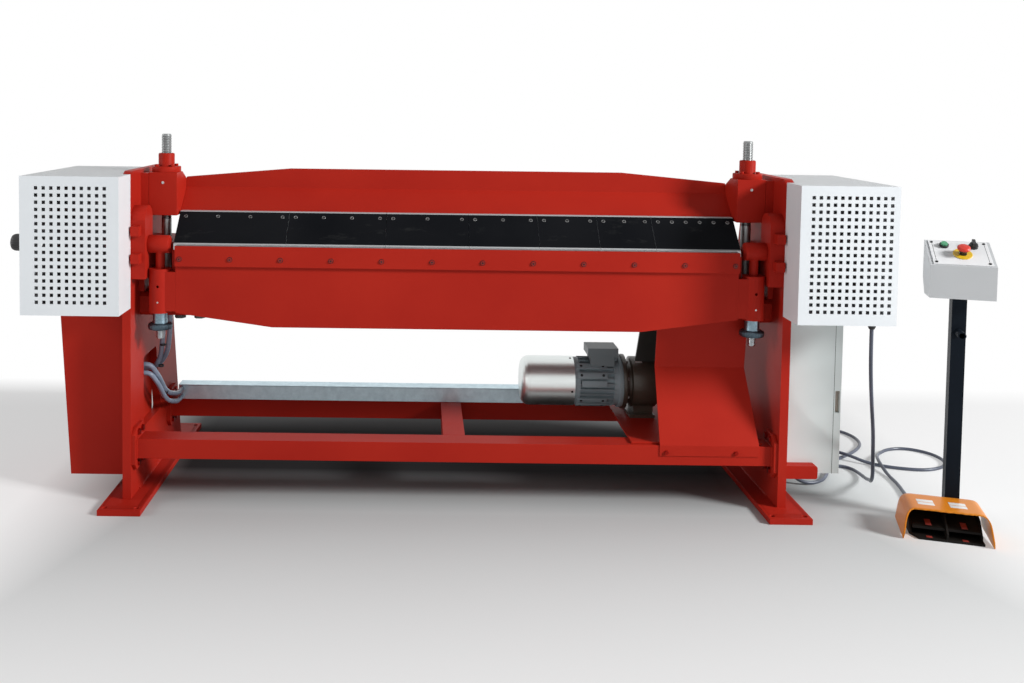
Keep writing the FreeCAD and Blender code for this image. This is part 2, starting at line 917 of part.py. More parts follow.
def make_spindles():
    height = d.spindle_top - d.spindle_low
    radius = d.spindle_radius
    right = turned("spindle", [(0, 0), (radius - 2, 0), (radius, 2), (radius, height - 4),
                               (radius - 4, height), (0, height)], (spindle_x, spindle_y, d.spindle_low))
    keep("right_spindle", right)
    keep("left_spindle", mirrored("spindle_left", right))
    keep("clamp_shaft", rod("clamp_bar", "x", (-d.clamp_shaft_start, spindle_y, d.clamp_shaft_height),
                            d.clamp_shaft_radius, d.clamp_shaft_start + d.clamp_shaft_end))


def make_guide_strips():
    right = box("guide", (frame_in - d.guide_strip, -d.block_front, d.guide_low),
                (frame_in, -d.guide_back, d.guide_high))
    keep("guide_strips", group("guides", [right, mirrored("guide_left", right)]))


# Upper beam

def make_upper_beam():
    foot_z = blade_tip_z + d.blade_set
    foot_y = bend_y + d.blade_thickness + d.blade_set
    head_y = bend_y + d.blade_thickness + d.blade_rise
    head_z = blade_tip_z + d.blade_rise
    web_back = -d.beam_web_front + d.beam_web
    flange_top = d.beam_flange_low + d.beam_flange
    section = profile("beam_section", [
        (foot_y, foot_z),
        (head_y, head_z),
        (-d.beam_web_front, d.beam_web_foot),
        (-d.beam_web_front, d.beam_top),
        (web_back, d.beam_top),
        (web_back, d.beam_web_heel),
        (-d.beam_heel, flange_top),
        (d.beam_back, flange_top),
        (d.beam_back, d.beam_flange_low),
        (-d.beam_throat, d.beam_flange_low),
        (-d.beam_foot_back, foot_z),
    ], -block_in, block_in * 2)
    taper = profile("beam_taper", [
        (d.beam_straight / 2, d.beam_top),
        (block_in, d.beam_end_top),
        (block_in + 1, d.beam_end_top),
        (block_in + 1, d.beam_top + 1),
        (d.beam_straight / 2, d.beam_top + 1),
    ], -web_back - 1, d.beam_web + 2, plane="XZ_Plane")
    tapered = cut("beam_tapered", section, [taper, mirrored("beam_taper_left", taper)])
    ribs = []
    for station in range(-3, 4):
        x = d.rib_pitch * station - d.rib_thickness / 2
        ribs.append(profile("beam_rib", [
            (web_back, d.rib_top),
            (d.beam_back - 5, flange_top),
            (-d.beam_heel, flange_top),
            (web_back, d.beam_web_heel),
        ], x, d.rib_thickness))
    keep("upper_beam", fuse("beam", [tapered] + ribs))


def make_blade_segments():
    """Seven clamping blades of falling width, set by hand along the beam."""
    widths = (400, 355, 298, 251, 216, 199, 301)
    whole = sum(widths)
    tip = (bend_y, blade_tip_z)
    head = (bend_y + d.blade_rise, blade_tip_z + d.blade_rise)
    pieces = []
    passed = 0
    for width in widths:
        start = -work_end + d.work_length * passed / whole + d.blade_seam / 2
        pieces.append(profile("blade_segment", [
            tip, head, (head[0] + d.blade_thickness, head[1]), (tip[0] + d.blade_thickness, tip[1]),
        ], start, d.work_length * width / whole - d.blade_seam))
        passed += width
    keep("blade_segments", group("blades", pieces))


def make_end_blocks():
    block = profile("end_block_blank", [
        (-d.block_front, d.block_low),
        (-d.block_front, d.block_top),
        (-d.block_slope_start, d.block_top),
        (-d.block_back, d.block_slope_end),
        (-d.block_back, d.block_low),
    ], block_in, d.block_width)
    bore = rod("end_block_bore", "z", (spindle_x, spindle_y, d.block_low - 1),
               d.spindle_radius + d.spindle_clearance, d.block_top)
    right = cut("end_block_right", block, [bore])
    keep("end_blocks", group("end_block_pair", [right, mirrored("end_block_left", right)]))


def make_clamp_nuts():
    bore = d.spindle_radius + d.running_gap
    rise = d.nut_flange + d.nut_collar
    nut = turned("clamp_nut", [
        (bore, 0), (d.nut_flange_radius, 0), (d.nut_flange_radius, d.nut_flange - 2),
        (d.nut_flange_radius - 2, d.nut_flange), (d.nut_collar_radius, d.nut_flange),
        (d.nut_collar_radius, rise - 3), (d.nut_collar_radius - 3, rise), (bore, rise),
    ], (spindle_x, spindle_y, d.block_top))
    pieces = [nut]
    for side_x in (-1, 1):
        for side_y in (-1, 1):
            spot = (spindle_x + d.nut_bolt_reach * side_x, spindle_y + d.nut_bolt_reach * side_y,
                    d.block_top + d.nut_flange)
            pieces.append(rod("clamp_nut_bolt", "z", spot, d.nut_bolt_radius, d.nut_bolt_head))
    keep("clamp_nuts", group("clamp_nut_set", pieces + [mirrored("clamp_nut_left", piece)
                                                       for piece in pieces]))


# Folding beam with its arms and adjusters

def make_fold_arms():
    hub_end = hinge_in - d.running_gap
    pieces = [
        rod("fold_hub", "x", (hub_in, bend_y, bend_z), d.pivot_radius, hub_end - hub_in),
        rod("fold_journal", "x", (hub_end - 1, bend_y, bend_z), d.journal_radius,
            journal_end - hub_end + 1),
        rod("fold_rod", "z", (rod_x, bend_y, d.rod_thread_top), d.rod_radius,
            bend_z - d.rod_thread_top),
        rod("fold_rod_thread", "z", (rod_x, bend_y, d.rod_end), d.rod_thread_radius,
            d.rod_thread_top - d.rod_end),
    ]
    right = fuse("fold_arm", pieces)
    keep("fold_arms", group("fold_arm_pair", [right, mirrored("fold_arm_left", right)]))


def make_folding_beam():
    keep("folding_beam", profile("apron", [
        (-d.apron_half, d.apron_end_low),
        (-d.apron_flat_half, d.apron_low),
        (d.apron_flat_half, d.apron_low),
        (d.apron_half, d.apron_end_low),
        (d.apron_half, bend_z - d.fold_gap - d.fold_bar_height),
        (-d.apron_half, bend_z - d.fold_gap - d.fold_bar_height),
    ], -apron_back, d.apron_thickness, plane="XZ_Plane"))
    top = bend_z - d.fold_gap
    keep("folding_blade", box("fold_bar", (-d.apron_half, apron_front, top - d.fold_bar_height),
                              (d.apron_half, apron_back, top)))
    keep("front_strip", box("strip", (-d.apron_half, strip_front, top - d.strip_height),
                            (d.apron_half, apron_front, top)))
    screws = []
    count = int(float(d.strip_screw_count))
    for number in range(count):
        x = d.strip_screw_pitch * (number - (count - 1) / 2)
        spot = (x, strip_front - d.strip_screw_head, d.strip_screw_height)
        screws.append(rod("strip_screw", "y", spot, d.strip_screw_radius, d.strip_screw_head))
    keep("strip_screws", group("strip_screw_row", screws))


def make_adjusters():
    bore = d.rod_radius + d.running_gap
    sleeve = rod("sleeve_blank", "z", (rod_x, bend_y, d.sleeve_low), d.sleeve_radius,
                 d.sleeve_top - d.sleeve_low)
    lug = box("sleeve_lug", (d.apron_half, apron_front, d.lug_low),
              (rod_x - bore, apron_back, d.lug_top))
    hole = rod("sleeve_bore", "z", (rod_x, bend_y, d.sleeve_low - 1), bore,
               d.sleeve_top - d.sleeve_low + 2)
    pin_hole = rod("sleeve_pin_hole", "y", (rod_x, bend_y - d.sleeve_radius - 1,
                                            d.sleeve_top - d.sleeve_pin_drop),
                   d.sleeve_pin_radius, d.sleeve_radius / 2)
    right = cut("sleeve", fuse("sleeve_solid", [sleeve, lug]), [hole, pin_hole])
    keep("adjuster_sleeves", group("sleeve_pair", [right, mirrored("sleeve_left", right)]))

    nut_bore = d.rod_thread_radius + d.running_gap
    height = d.hand_nut_rim + d.hand_nut_neck
    base_z = d.sleeve_low - d.running_gap - height
    nut = turned("hand_nut_blank", [
        (nut_bore, 0), (d.hand_nut_radius - 3, 0), (d.hand_nut_radius, 3),
        (d.hand_nut_radius, d.hand_nut_rim - 3), (d.hand_nut_radius - 3, d.hand_nut_rim),
        (d.hand_nut_neck_radius, d.hand_nut_rim), (d.hand_nut_neck_radius, height), (nut_bore, height),
    ], (rod_x, bend_y, base_z))
    grips = []
    grip_reach = d.hand_nut_radius + 1
    for number in range(int(float(d.hand_nut_grips))):
        angle = 2 * math.pi * number / float(d.hand_nut_grips)
        spot = (rod_x + grip_reach * math.cos(angle), bend_y + grip_reach * math.sin(angle), base_z - 1)
        grips.append(rod("hand_nut_grip", "z", spot, d.hand_nut_grip_radius, d.hand_nut_rim + 2))
    right_nut = cut("hand_nut", nut, grips)
    keep("right_hand_nut", right_nut)
    keep("left_hand_nut", mirrored("hand_nut_left", right_nut))


# Folding drive

def involute_tooth(teeth, centre, backlash):
    """One tooth as (radius, angle) pairs, rising on its low side and falling on its high side."""
    module = float(d.gear_module)
    pitch_radius = module * teeth / 2
    pressure = math.radians(float(d.pressure_angle))
    base_radius = pitch_radius * math.cos(pressure)
    root_radius = pitch_radius - float(d.tooth_root)
    tip_radius = pitch_radius + float(d.tooth_tip)
    half_at_pitch = (math.pi * module / 2 - backlash) / (2 * pitch_radius)
    start_radius = max(base_radius, root_radius)
    steps = 3
    flank = []
    if root_radius < base_radius:
        flank.append((root_radius, half_at_pitch + math.tan(pressure) - pressure))
    for step in range(steps + 1):
        radius = start_radius + (tip_radius - start_radius) * step / steps
        angle_here = math.acos(min(1.0, base_radius / radius))
        half = (half_at_pitch + math.tan(pressure) - pressure
                - math.tan(angle_here) + angle_here)
        flank.append((radius, half))
    rising = [(radius, centre - half) for radius, half in flank]
    falling = [(radius, centre + half) for radius, half in reversed(flank)]
    return rising + falling


def gear_prism(points, centre_y, centre_z, start, length):
    corners = [Vector(start, centre_y + radius * math.cos(angle), centre_z + radius * math.sin(angle))
               for radius, angle in points]
    face = Part.Face(Part.makePolygon(corners + corners[:1]))
    return face.extrude(Vector(length, 0, 0))


def mesh_angle():
    """The direction from the bend line to the fold shaft, in the YZ plane."""
    return math.atan2(float(fold_shaft_z - bend_z), float(fold_shaft_y - bend_y))


def make_fold_gear():
    teeth = int(float(d.gear_teeth))
    pitch = 2 * math.pi / teeth
    spread = (-2, 24)
    start = float(frame_in + d.gear_offset)
    face = float(d.gear_face)
    y, z = float(bend_y), float(bend_z)
    points = [(0.0, 0.0)]
    for number in range(*spread):
        points += involute_tooth(teeth, mesh_angle() + number * pitch, float(d.tooth_backlash))
    sector = gear_prism(points, y, z, start, face)
    axis = Vector(1, 0, 0)
    hub = Part.makeCylinder(float(d.gear_hub_radius), face, Vector(start, y, z), axis)
    bore = Part.makeCylinder(float(journal_bore), face + 2, Vector(start - 1, y, z), axis)
    windows = []
    window_reach = float(d.gear_window_reach)
    for quarter in (0.5, 1.5, 2.5, 3.5):
        angle = mesh_angle() + (spread[0] + (spread[1] - spread[0]) * quarter / 4 - 0.5) * pitch
        spot = Vector(start - 1, y + window_reach * math.cos(angle), z + window_reach * math.sin(angle))
        windows.append(Part.makeCylinder(float(d.gear_window_radius), face + 2, spot, axis))
    shape = sector.fuse(hub).cut(bore)
    for window in windows:
        shape = shape.cut(window)
    keep("fold_gear", shape_part("sector_gear", shape.removeSplitter()))


def make_fold_shaft():
    teeth = int(float(d.pinion_teeth))
    pitch = 2 * math.pi / teeth
    start = float(frame_in + d.gear_offset)
    points = []
    for number in range(teeth):
        points += involute_tooth(teeth, mesh_angle() + math.pi + (number + 0.5) * pitch,
                                 float(d.tooth_backlash))
    pinion = gear_prism(points, float(fold_shaft_y), float(fold_shaft_z), start, float(d.gear_face))
    toothed = shape_part("pinion", pinion)
    bar_start = d.chain_case_start + d.fold_shaft_inset
    bar_end = frame_in + d.gear_offset + d.gear_face + d.fold_shaft_overhang
    bar = rod("fold_bar_shaft", "x", (bar_start, fold_shaft_y, fold_shaft_z), d.fold_shaft_radius,
              bar_end - bar_start)
    keep("fold_shaft", fuse("fold_shaft_whole", [bar, toothed]))


def tangent_hull(start, length, low_centre, low_radius, high_centre, high_radius):
    """A flat case round two shafts: two arcs joined by their common tangents."""
    low = Vector(0, *low_centre)
    high = Vector(0, *high_centre)
    along = high - low
    reach = along.Length
    base = math.atan2(along.z, along.y)
    swing = math.acos((low_radius - high_radius) / reach)

    def rim(centre, radius, angle):
        return Vector(start, centre.y + radius * math.cos(angle), centre.z + radius * math.sin(angle))

    high_arc = Part.Arc(rim(high, high_radius, base + swing), rim(high, high_radius, base),
                        rim(high, high_radius, base - swing))
    low_arc = Part.Arc(rim(low, low_radius, base - swing), rim(low, low_radius, base + math.pi),
                       rim(low, low_radius, base + swing))
    sides = [
        Part.LineSegment(rim(high, high_radius, base - swing), rim(low, low_radius, base - swing)),
        Part.LineSegment(rim(low, low_radius, base + swing), rim(high, high_radius, base + swing)),
    ]
    edges = [high_arc.toShape(), sides[0].toShape(), low_arc.toShape(), sides[1].toShape()]
    return Part.Face(Part.Wire(edges)).extrude(Vector(length, 0, 0))


def make_chain_case():
    """The case round the chain, and the plate on the bed's rear web that it hangs from."""
    start = float(d.chain_case_start)
    thickness = float(d.chain_case_end) - start
    hull = tangent_hull(start, thickness, (float(motor_y), float(motor_z)),
                        float(d.chain_case_low_radius), (float(fold_shaft_y), float(fold_shaft_z)),
                        float(d.chain_case_high_radius))
    case = shape_part("chain_case_hull", hull)
    hanger = box("chain_case_hanger", (d.chain_case_start, fold_shaft_y - d.chain_case_hanger / 2,
                                       fold_shaft_z),
                 (d.chain_case_end, fold_shaft_y + d.chain_case_hanger / 2, d.bed_plate_low))
    bore = rod("chain_case_bore", "x", (d.chain_case_start - 1, fold_shaft_y, fold_shaft_z),
               fold_shaft_bore, d.chain_case_end - d.chain_case_start + 2)
    carrier_end = d.chain_case_start + d.carrier_overlap
    carrier = profile("carrier_plate", [
        (d.carrier_low_start, d.carrier_low),
        (d.carrier_high_start, d.carrier_high),
        (d.carrier_high_start, d.carrier_top),
        (carrier_end, d.carrier_top),
        (carrier_end, d.carrier_low),
    ], d.carrier_front - d.carrier_plate, d.carrier_plate, plane="XZ_Plane")
    barrel_room = rod("barrel_room", "x", (d.carrier_low_start - 1, motor_y, motor_z),
                      d.gearbox_radius + d.running_gap, d.chain_case_start - d.carrier_low_start + 1)
    keep("chain_case", fuse("chain_case_whole", [
        cut("chain_case_bored", fuse("chain_case_solid", [case, hanger]), [bore]),
        cut("carrier_round_barrel", carrier, [barrel_room]),
    ]))


def make_chain_guard():
    t = d.guard_sheet
    stretcher_y = -d.front_stretcher_front
    front_line = [
        (stretcher_y, d.guard_low),
        (stretcher_y, d.guard_bend),
        (-d.guard_fold_setback, d.guard_fold_height),
        (-d.guard_top_setback, d.bed_front_low),
    ]
    back = [(y - t, z) for y, z in reversed(front_line)]
    widest = d.guard_end + d.guard_flare
    sheet_body = profile("guard_sheet_metal", front_line + back, d.guard_start,
                         widest - d.guard_start)
    trim = profile("guard_trim", [
        (d.guard_end, d.bed_front_low + 1),
        (widest + 1, d.bed_front_low + 1),
        (widest + 1, d.guard_bend),
        (widest, d.guard_bend),
        (d.guard_end, d.guard_fold_height),
    ], d.guard_fold_setback - t, -stretcher_y - d.guard_fold_setback + t * 3, plane="XZ_Plane")
    lip = box("guard_lip", (d.guard_start, -d.guard_lip_front, d.bed_front_low - t),
              (d.guard_lip_end, -d.guard_top_setback, d.bed_front_low))
    keep("chain_guard", fuse("guard", [cut("guard_flared", sheet_body, [trim]), lip]))
    heads = []
    for x in (d.guard_start + d.guard_bolt_left, d.guard_end - d.guard_bolt_right):
        spot = (x, stretcher_y - t - d.guard_bolt_head, d.guard_low + d.guard_bolt_rise)
        heads.append(hexagon("guard_bolt", "y", spot, d.guard_bolt_across, d.guard_bolt_head))
    return heads


# Motor

def make_motor():
    start, end = float(d.motor_start), float(d.motor_end)
    y, z = float(motor_y), float(motor_z)
    axis = Vector(1, 0, 0)
    length = end - start
    core = Part.makeCylinder(float(d.motor_core_radius), length, Vector(start, y, z), axis)
    rim_width = float(d.motor_rim)
    shape = core
    for rim_start in (start, end - rim_width):
        shape = shape.fuse(Part.makeCylinder(float(d.motor_radius) - 3, rim_width,
                                             Vector(rim_start, y, z), axis))
    count = int(float(d.motor_fins))
    fin = float(d.motor_fin)
    fins = []
    fin_root = float(d.motor_core_radius) / 2
    for number in range(count):
        blade = Part.makeBox(length - 2 * rim_width + 2, fin, float(d.motor_radius) - fin_root,
                             Vector(start + rim_width - 1, y - fin / 2, z + fin_root))
        blade.rotate(Vector(start, y, z), axis, 360 / count * (number + 0.5))
        fins.append(blade)
    shape = shape.fuse(fins)
    flange = Part.makeCylinder(float(d.motor_flange_radius), float(d.gearbox_start) - end,
                               Vector(end, y, z), axis)
    keep("motor", shape_part("motor_body", shape.fuse(flange).removeSplitter()))
    fan_length = d.motor_start - d.fan_cover_start
    steps = 5
    rounding = []
    for step in range(steps):
        turn = math.pi / 2 * step / steps
        rounding.append((d.motor_radius - d.fan_cover_dome * (1 - math.sin(turn)),
                         d.fan_cover_dome * (1 - math.cos(turn))))
    rounding[0] = (rounding[0][0], NOTHING)
    keep("fan_cover", turned("fan_hood", [(0, 0)] + rounding + [
        (d.motor_radius, d.fan_cover_dome), (d.motor_radius, fan_length), (0, fan_length),
    ], (d.fan_cover_start, motor_y, motor_z), axis="x"))
    lid_low = d.terminal_high - d.terminal_lid
    inset = d.terminal_inset
    front, back = motor_y - d.terminal_front, motor_y + d.terminal_back
    lid = box("terminal_lid_block", (d.terminal_start, front, lid_low),
              (d.terminal_end, back, d.terminal_high))
    body = box("terminal_body", (d.terminal_start + inset, front + inset, d.terminal_low),
               (d.terminal_end - inset, back - inset, lid_low + 1))
    seat = rod("terminal_seat", "x", (d.terminal_start - 1, motor_y, motor_z),
               d.motor_radius + d.running_gap, d.terminal_end - d.terminal_start + 2)
    keep("terminal_box", cut("terminal", fuse("terminal_blank", [lid, body]), [seat]))


def make_gearbox():
    """A round gearbox with a bell at the motor, a neck and a barrel, on a foot."""
    start = d.gearbox_start
    length = d.chain_case_start - start
    edge = d.gearbox_radius - 4
    barrel = turned("gearbox_barrel", [
        (0, 0), (d.gearbox_bell_radius, 0), (d.gearbox_bell_radius, d.gearbox_bell),
        (d.gearbox_neck_radius, d.gearbox_bell + 4), (d.gearbox_neck_radius, d.gearbox_neck_end),
        (d.gearbox_radius, d.gearbox_neck_end + 4), (d.gearbox_radius, length - 4),
        (edge, length), (0, length),
    ], (start, motor_y, motor_z), axis="x")
    foot_end = d.chain_case_start - d.gearbox_foot
    foot_top = motor_plate_top + d.gearbox_foot
    foot = box("gearbox_foot_plate", (d.gearbox_foot_start, motor_y - d.gearbox_foot_front,
                                      motor_plate_top),
               (foot_end, motor_y + d.gearbox_foot_back, foot_top))
    column = box("gearbox_column_block", (start + d.gearbox_neck_end + d.gearbox_foot,
                                          motor_y - d.gearbox_column, foot_top),
                 (foot_end, motor_y + d.gearbox_column, motor_z))
    keep("gearbox", fuse("gearbox_whole", [barrel, foot, column]))


# Covers and cabinets

def cover_shell(name):
    """The sheet box over a machine end, open towards the side frame and at its front."""
    t = d.sheet_wall
    front, back = -d.cover_front + t, d.cover_back
    nose_back = -d.frame_front
    outer = profile(f"{name}_outside", [
        (frame_in, front), (d.cover_outer, front), (d.cover_outer, back),
        (frame_out, back), (frame_out, nose_back), (frame_in, nose_back),
    ], d.cover_low, d.cover_top - d.cover_low, plane="XY_Plane")
    inner = profile(f"{name}_inside", [
        (frame_in + t, front - 1), (d.cover_outer - t, front - 1), (d.cover_outer - t, back - t),
        (frame_out - 1, back - t), (frame_out - 1, nose_back - t), (frame_in + t, nose_back - t),
    ], d.cover_low + t, d.cover_top - d.cover_low - t * 2, plane="XY_Plane")
    return cut(f"{name}_shell", outer, [inner])


def perforated_front(name, columns, first_hole, pitch, sign):
    """A front sheet with its grid of square holes."""
    side = float(d.hole_side)
    rows = int(float(d.hole_rows))
    y = -float(d.cover_front)
    sheet_wires = [rectangle_wire(float(frame_in), float(d.cover_low), float(d.cover_outer),
                                  float(d.cover_top), y)]
    for column in range(int(float(columns))):
        for row_number in range(rows):
            x = float(first_hole) + column * float(pitch)
            z = float(d.hole_low) + row_number * float(d.hole_row_pitch) - side / 2
            sheet_wires.append(rectangle_wire(x, z, x + side, z + side, y))
    face = Part.Face(sheet_wires[0])
    holes = Part.makeCompound([Part.Face(wire) for wire in sheet_wires[1:]])
    shape = face.cut(holes).extrude(Vector(0, float(d.sheet_wall), 0))
    if sign < 0:
        shape = shape.mirror(Vector(), Vector(1, 0, 0))
    keep(name, shape_part(f"{name}_sheet", shape.Solids[0]))


def rectangle_wire(x0, z0, x1, z1, y):
    corners = [Vector(x0, y, z0), Vector(x1, y, z0), Vector(x1, y, z1), Vector(x0, y, z1)]
    return Part.makePolygon(corners + corners[:1])


def make_covers():
    right = cover_shell("right_cover")
    keep("right_cover", right)
    perforated_front("right_cover_front", d.right_hole_columns, d.right_hole_start,
                     d.right_hole_pitch, 1)
    left = mirrored("left_cover_shell", cover_shell("left_cover"))
    knob_hole = rod("knob_hole", "x", (-d.cover_outer - 1, bend_y, bend_z),
                    d.knob_neck_radius + d.running_gap, d.sheet_wall + 2)
    keep("left_cover", cut("left_cover_bored", left, [knob_hole]))
    perforated_front("left_cover_front", d.left_hole_columns, d.left_hole_start,
                     d.left_hole_pitch, -1)
    screws = []
    for number in range(3):
        y = -d.cover_screw_back - d.cover_screw_pitch * number
        spot = (frame_out + d.cover_screw_inset, y, d.cover_top)
        screws.append(rod("cover_screw", "z", spot, d.cover_screw_radius, d.cover_screw_head))
    return screws + [mirrored("cover_screw_left", screw) for screw in screws]


def make_drive_box():
    """The closed box under the left cover, narrower at its foot."""
    t = d.box_wall
    outer = profile("drive_box_blank", [
        (-d.box_outer_high, d.cover_low), (-frame_out, d.cover_low),
        (-frame_out, d.box_low), (-d.box_outer_low, d.box_low),
    ], -d.box_back, d.box_front + d.box_back, plane="XZ_Plane")
    inner = profile("drive_box_inside", [
        (-d.box_outer_high + t, d.cover_low - t), (-frame_out - t, d.cover_low - t),
        (-frame_out - t, d.box_low + t), (-d.box_outer_low + t, d.box_low + t),
    ], -d.box_back + t, d.box_front + d.box_back - t * 2, plane="XZ_Plane")
    bore = rod("drive_box_bore", "x", (-d.clamp_shaft_start - t, spindle_y, d.clamp_shaft_height),
               clamp_shaft_bore, d.clamp_shaft_start + t + 1 - frame_out)
    keep("left_drive_box", cut("drive_box", outer, [bore, inner]))


def make_cabinet():
    t = d.sheet_wall
    front, back = -d.box_front, d.cabinet_back
    shell = cut("cabinet_shell",
                box("cabinet_outside", (frame_out, front, d.cabinet_low),
                    (d.cabinet_outer, back, d.cabinet_top)),
                [box("cabinet_inside", (frame_out + t, front + t, d.cabinet_low + t),
                     (d.cabinet_outer + 1, back - t, d.cabinet_top - t))])
    hinge_x = d.cabinet_outer + d.door_thickness / 2
    hinge_y = back + d.door_knuckle_radius
    leaf_back = back + d.door_leaf_thickness
    lower = d.cabinet_low + d.door_knuckle
    upper = d.cabinet_top - d.door_knuckle * 3
    fixed, moving = [shell], []
    for z in (lower, upper):
        fixed.append(rod("cabinet_knuckle", "z", (hinge_x, hinge_y, z), d.door_knuckle_radius,
                         d.door_knuckle))
        fixed.append(box("cabinet_hinge_leaf", (d.cabinet_outer - d.door_leaf, back, z),
                         (hinge_x, leaf_back, z + d.door_knuckle)))
        start = z + d.door_knuckle + d.running_gap
        moving.append(rod("door_knuckle", "z", (hinge_x, hinge_y, start), d.door_knuckle_radius,
                          d.door_knuckle))
        moving.append(box("door_hinge_leaf", (hinge_x - d.door_knuckle_radius, back, start),
                          (hinge_x + d.door_knuckle_radius, leaf_back, start + d.door_knuckle)))
    keep("electric_cabinet", fuse("cabinet", fixed))
    door_end = d.cabinet_outer + d.door_thickness
    door = cut("door_dish",
               box("door_outside", (d.cabinet_outer, front, d.cabinet_low),
                   (door_end, back, d.cabinet_top)),
               [box("door_inside", (d.cabinet_outer - 1, front + t, d.cabinet_low + t),
                    (door_end - t, back - t, d.cabinet_top - t))])
    rim = d.handle_margin
    tray = box("handle_tray", (d.cabinet_outer, front, d.handle_low - t),
               (door_end, front + d.handle_depth, d.handle_high + t))
    finger_room = box("handle_room", (d.cabinet_outer + rim, front - 1, d.handle_low),
                      (door_end - rim, front + d.handle_depth - t, d.handle_high))
    hole = rod("lock_hole", "x", (d.cabinet_outer, lock_y, d.lock_height),
               d.lock_radius + d.running_gap, d.door_thickness + 1)
    keep("cabinet_door", cut("door_bored", fuse("door_solid", [door, tray] + moving),
                             [hole, finger_room]))
    seat = d.lock_seat + d.running_gap
    length = d.lock_length
    lock = turned("lock_body", [
        (0, 0), (d.lock_radius, 0), (d.lock_radius, seat), (d.lock_head_radius, seat),
        (d.lock_head_radius, length - 2), (d.lock_head_radius - 2, length), (0, length),
    ], (door_end - d.lock_seat, lock_y, d.lock_height), axis="x")
    cam_x = door_end - d.lock_seat + 1
    half_cam = d.lock_cam_width / 2
    cam = box("lock_cam_plate", (cam_x, lock_y - d.lock_cam_width, d.lock_height - half_cam),
              (cam_x + d.lock_cam, lock_y, d.lock_height + half_cam))
    slot_x = door_end - d.lock_seat + length - d.lock_slot
    slot = box("lock_key_slot", (slot_x, lock_y - d.lock_slot / 2, d.lock_height - d.lock_radius),
               (slot_x + d.lock_slot + 1, lock_y + d.lock_slot / 2, d.lock_height + d.lock_radius))
    keep("door_lock", cut("lock", fuse("lock_solid", [lock, cam]), [slot]))


def make_angle_knob():
    radius, soft = d.knob_radius, d.knob_round
    collar = d.knob_end - d.cover_outer + d.knob_play
    collar_end = collar + d.knob_collar
    keep("angle_knob", turned("knob", [
        (0, 0), (radius - soft, 0), (radius - soft / 4, soft / 3), (radius, soft),
        (radius, d.knob_length - soft / 2), (radius - soft / 2, d.knob_length),
        (d.knob_neck_radius, d.knob_length), (d.knob_neck_radius, collar),
        (radius, collar), (radius, collar_end), (0, collar_end),
    ], (-d.knob_end, bend_y, bend_z), axis="x"))


# Cable trunking, conduits and cables

def tube(points, radius):
    """A round tube along straight runs joined by tangent arcs, with its path's figures."""
    corners = [Vector(*point) for point in points]
    edges = []
    radii = []
    here = corners[0]
    for before, corner, after in zip(corners, corners[1:], corners[2:]):
        into, out = (corner - before), (after - corner)
        half_turn = into.getAngle(out) / 2
        trim = 0.45 * min(into.Length, out.Length)
        radii.append(trim / math.tan(half_turn))
        into.normalize()
        out.normalize()
        arc_start = corner - into * trim
        arc_end = corner + out * trim
        bisector = (out - into).normalize()
        sagitta = radii[-1] / math.cos(half_turn) - radii[-1]
        edges.append(Part.LineSegment(here, arc_start).toShape())
        edges.append(Part.Arc(arc_start, corner + bisector * sagitta, arc_end).toShape())
        here = arc_end
    edges.append(Part.LineSegment(here, corners[-1]).toShape())
    path = Part.Wire(edges)
    direction = corners[1] - corners[0]
    ring = Part.Wire(Part.makeCircle(radius, corners[0], direction))
    shape = path.makePipeShell([ring], True, False)
    return shape, path.Length, radii


def make_tube(name, points, radius):
    shape, length, radii = tube(points, float(radius))
    ideal = math.pi * float(radius) ** 2 * length
    print(f"{name}: {length:.0f} mm long, radii {min(radii):.0f} to {max(radii):.0f} mm,"
          f" volume {shape.Volume / ideal:.4f} of its section times its length")
    return shape


def make_trunking():
    lip = d.duct_lid / 2
    duct_back = duct_front + d.duct_side
    duct_top = stretcher_top + d.duct_side
    base = box("duct_base", (-d.duct_start, duct_front, stretcher_top),
               (d.duct_end, duct_back, duct_top - d.duct_lid))
    lid = box("duct_lid_strip", (-d.duct_start, duct_front - lip, duct_top - d.duct_lid),
              (d.duct_end, duct_back + lip, duct_top))
    keep("cable_trunking", fuse("duct", [base, lid]))


def make_conduits():
    """Two conduits from the left frame's window to the trunking, two to the mitre box."""
    frame_side = -float(frame_out)
    trunking = float(duct_front)
    box_under = float(d.mitre_box_low)
    low_route = [(frame_side, -178, 452), (-1132, -178, 452), (-1108, -150, 400), (-1102, -60, 312),
                 (-1088, 60, 274), (-1088, trunking, 274)]
    stack = 32
    shapes = [
        make_tube("upper low conduit", low_route, d.conduit_radius),
        make_tube("under low conduit", [(x, y, z - stack) for x, y, z in low_route],
                  d.conduit_radius),
        make_tube("front high conduit", [
            (frame_side, -122, 424), (-1134, -122, 424), (-1104, -140, 470), (-1092, -150, 560),
            (-1092, -150, box_under)], d.conduit_radius),
        make_tube("rear high conduit", [
            (frame_side, -96, 424), (-1128, -96, 424), (-1082, -126, 480), (-1066, -150, 570),
            (-1066, -150, box_under)], d.conduit_radius),
    ]
    pieces = [shape_part(f"conduit_{number}", shape) for number, shape in enumerate(shapes)]
    keep("conduits", group("conduit_set", pieces))


def local_point(x, y, z):
    """A point of the pedestal, in the machine's frame."""
    return pedestal_placement().multVec(Vector(x, y, z))


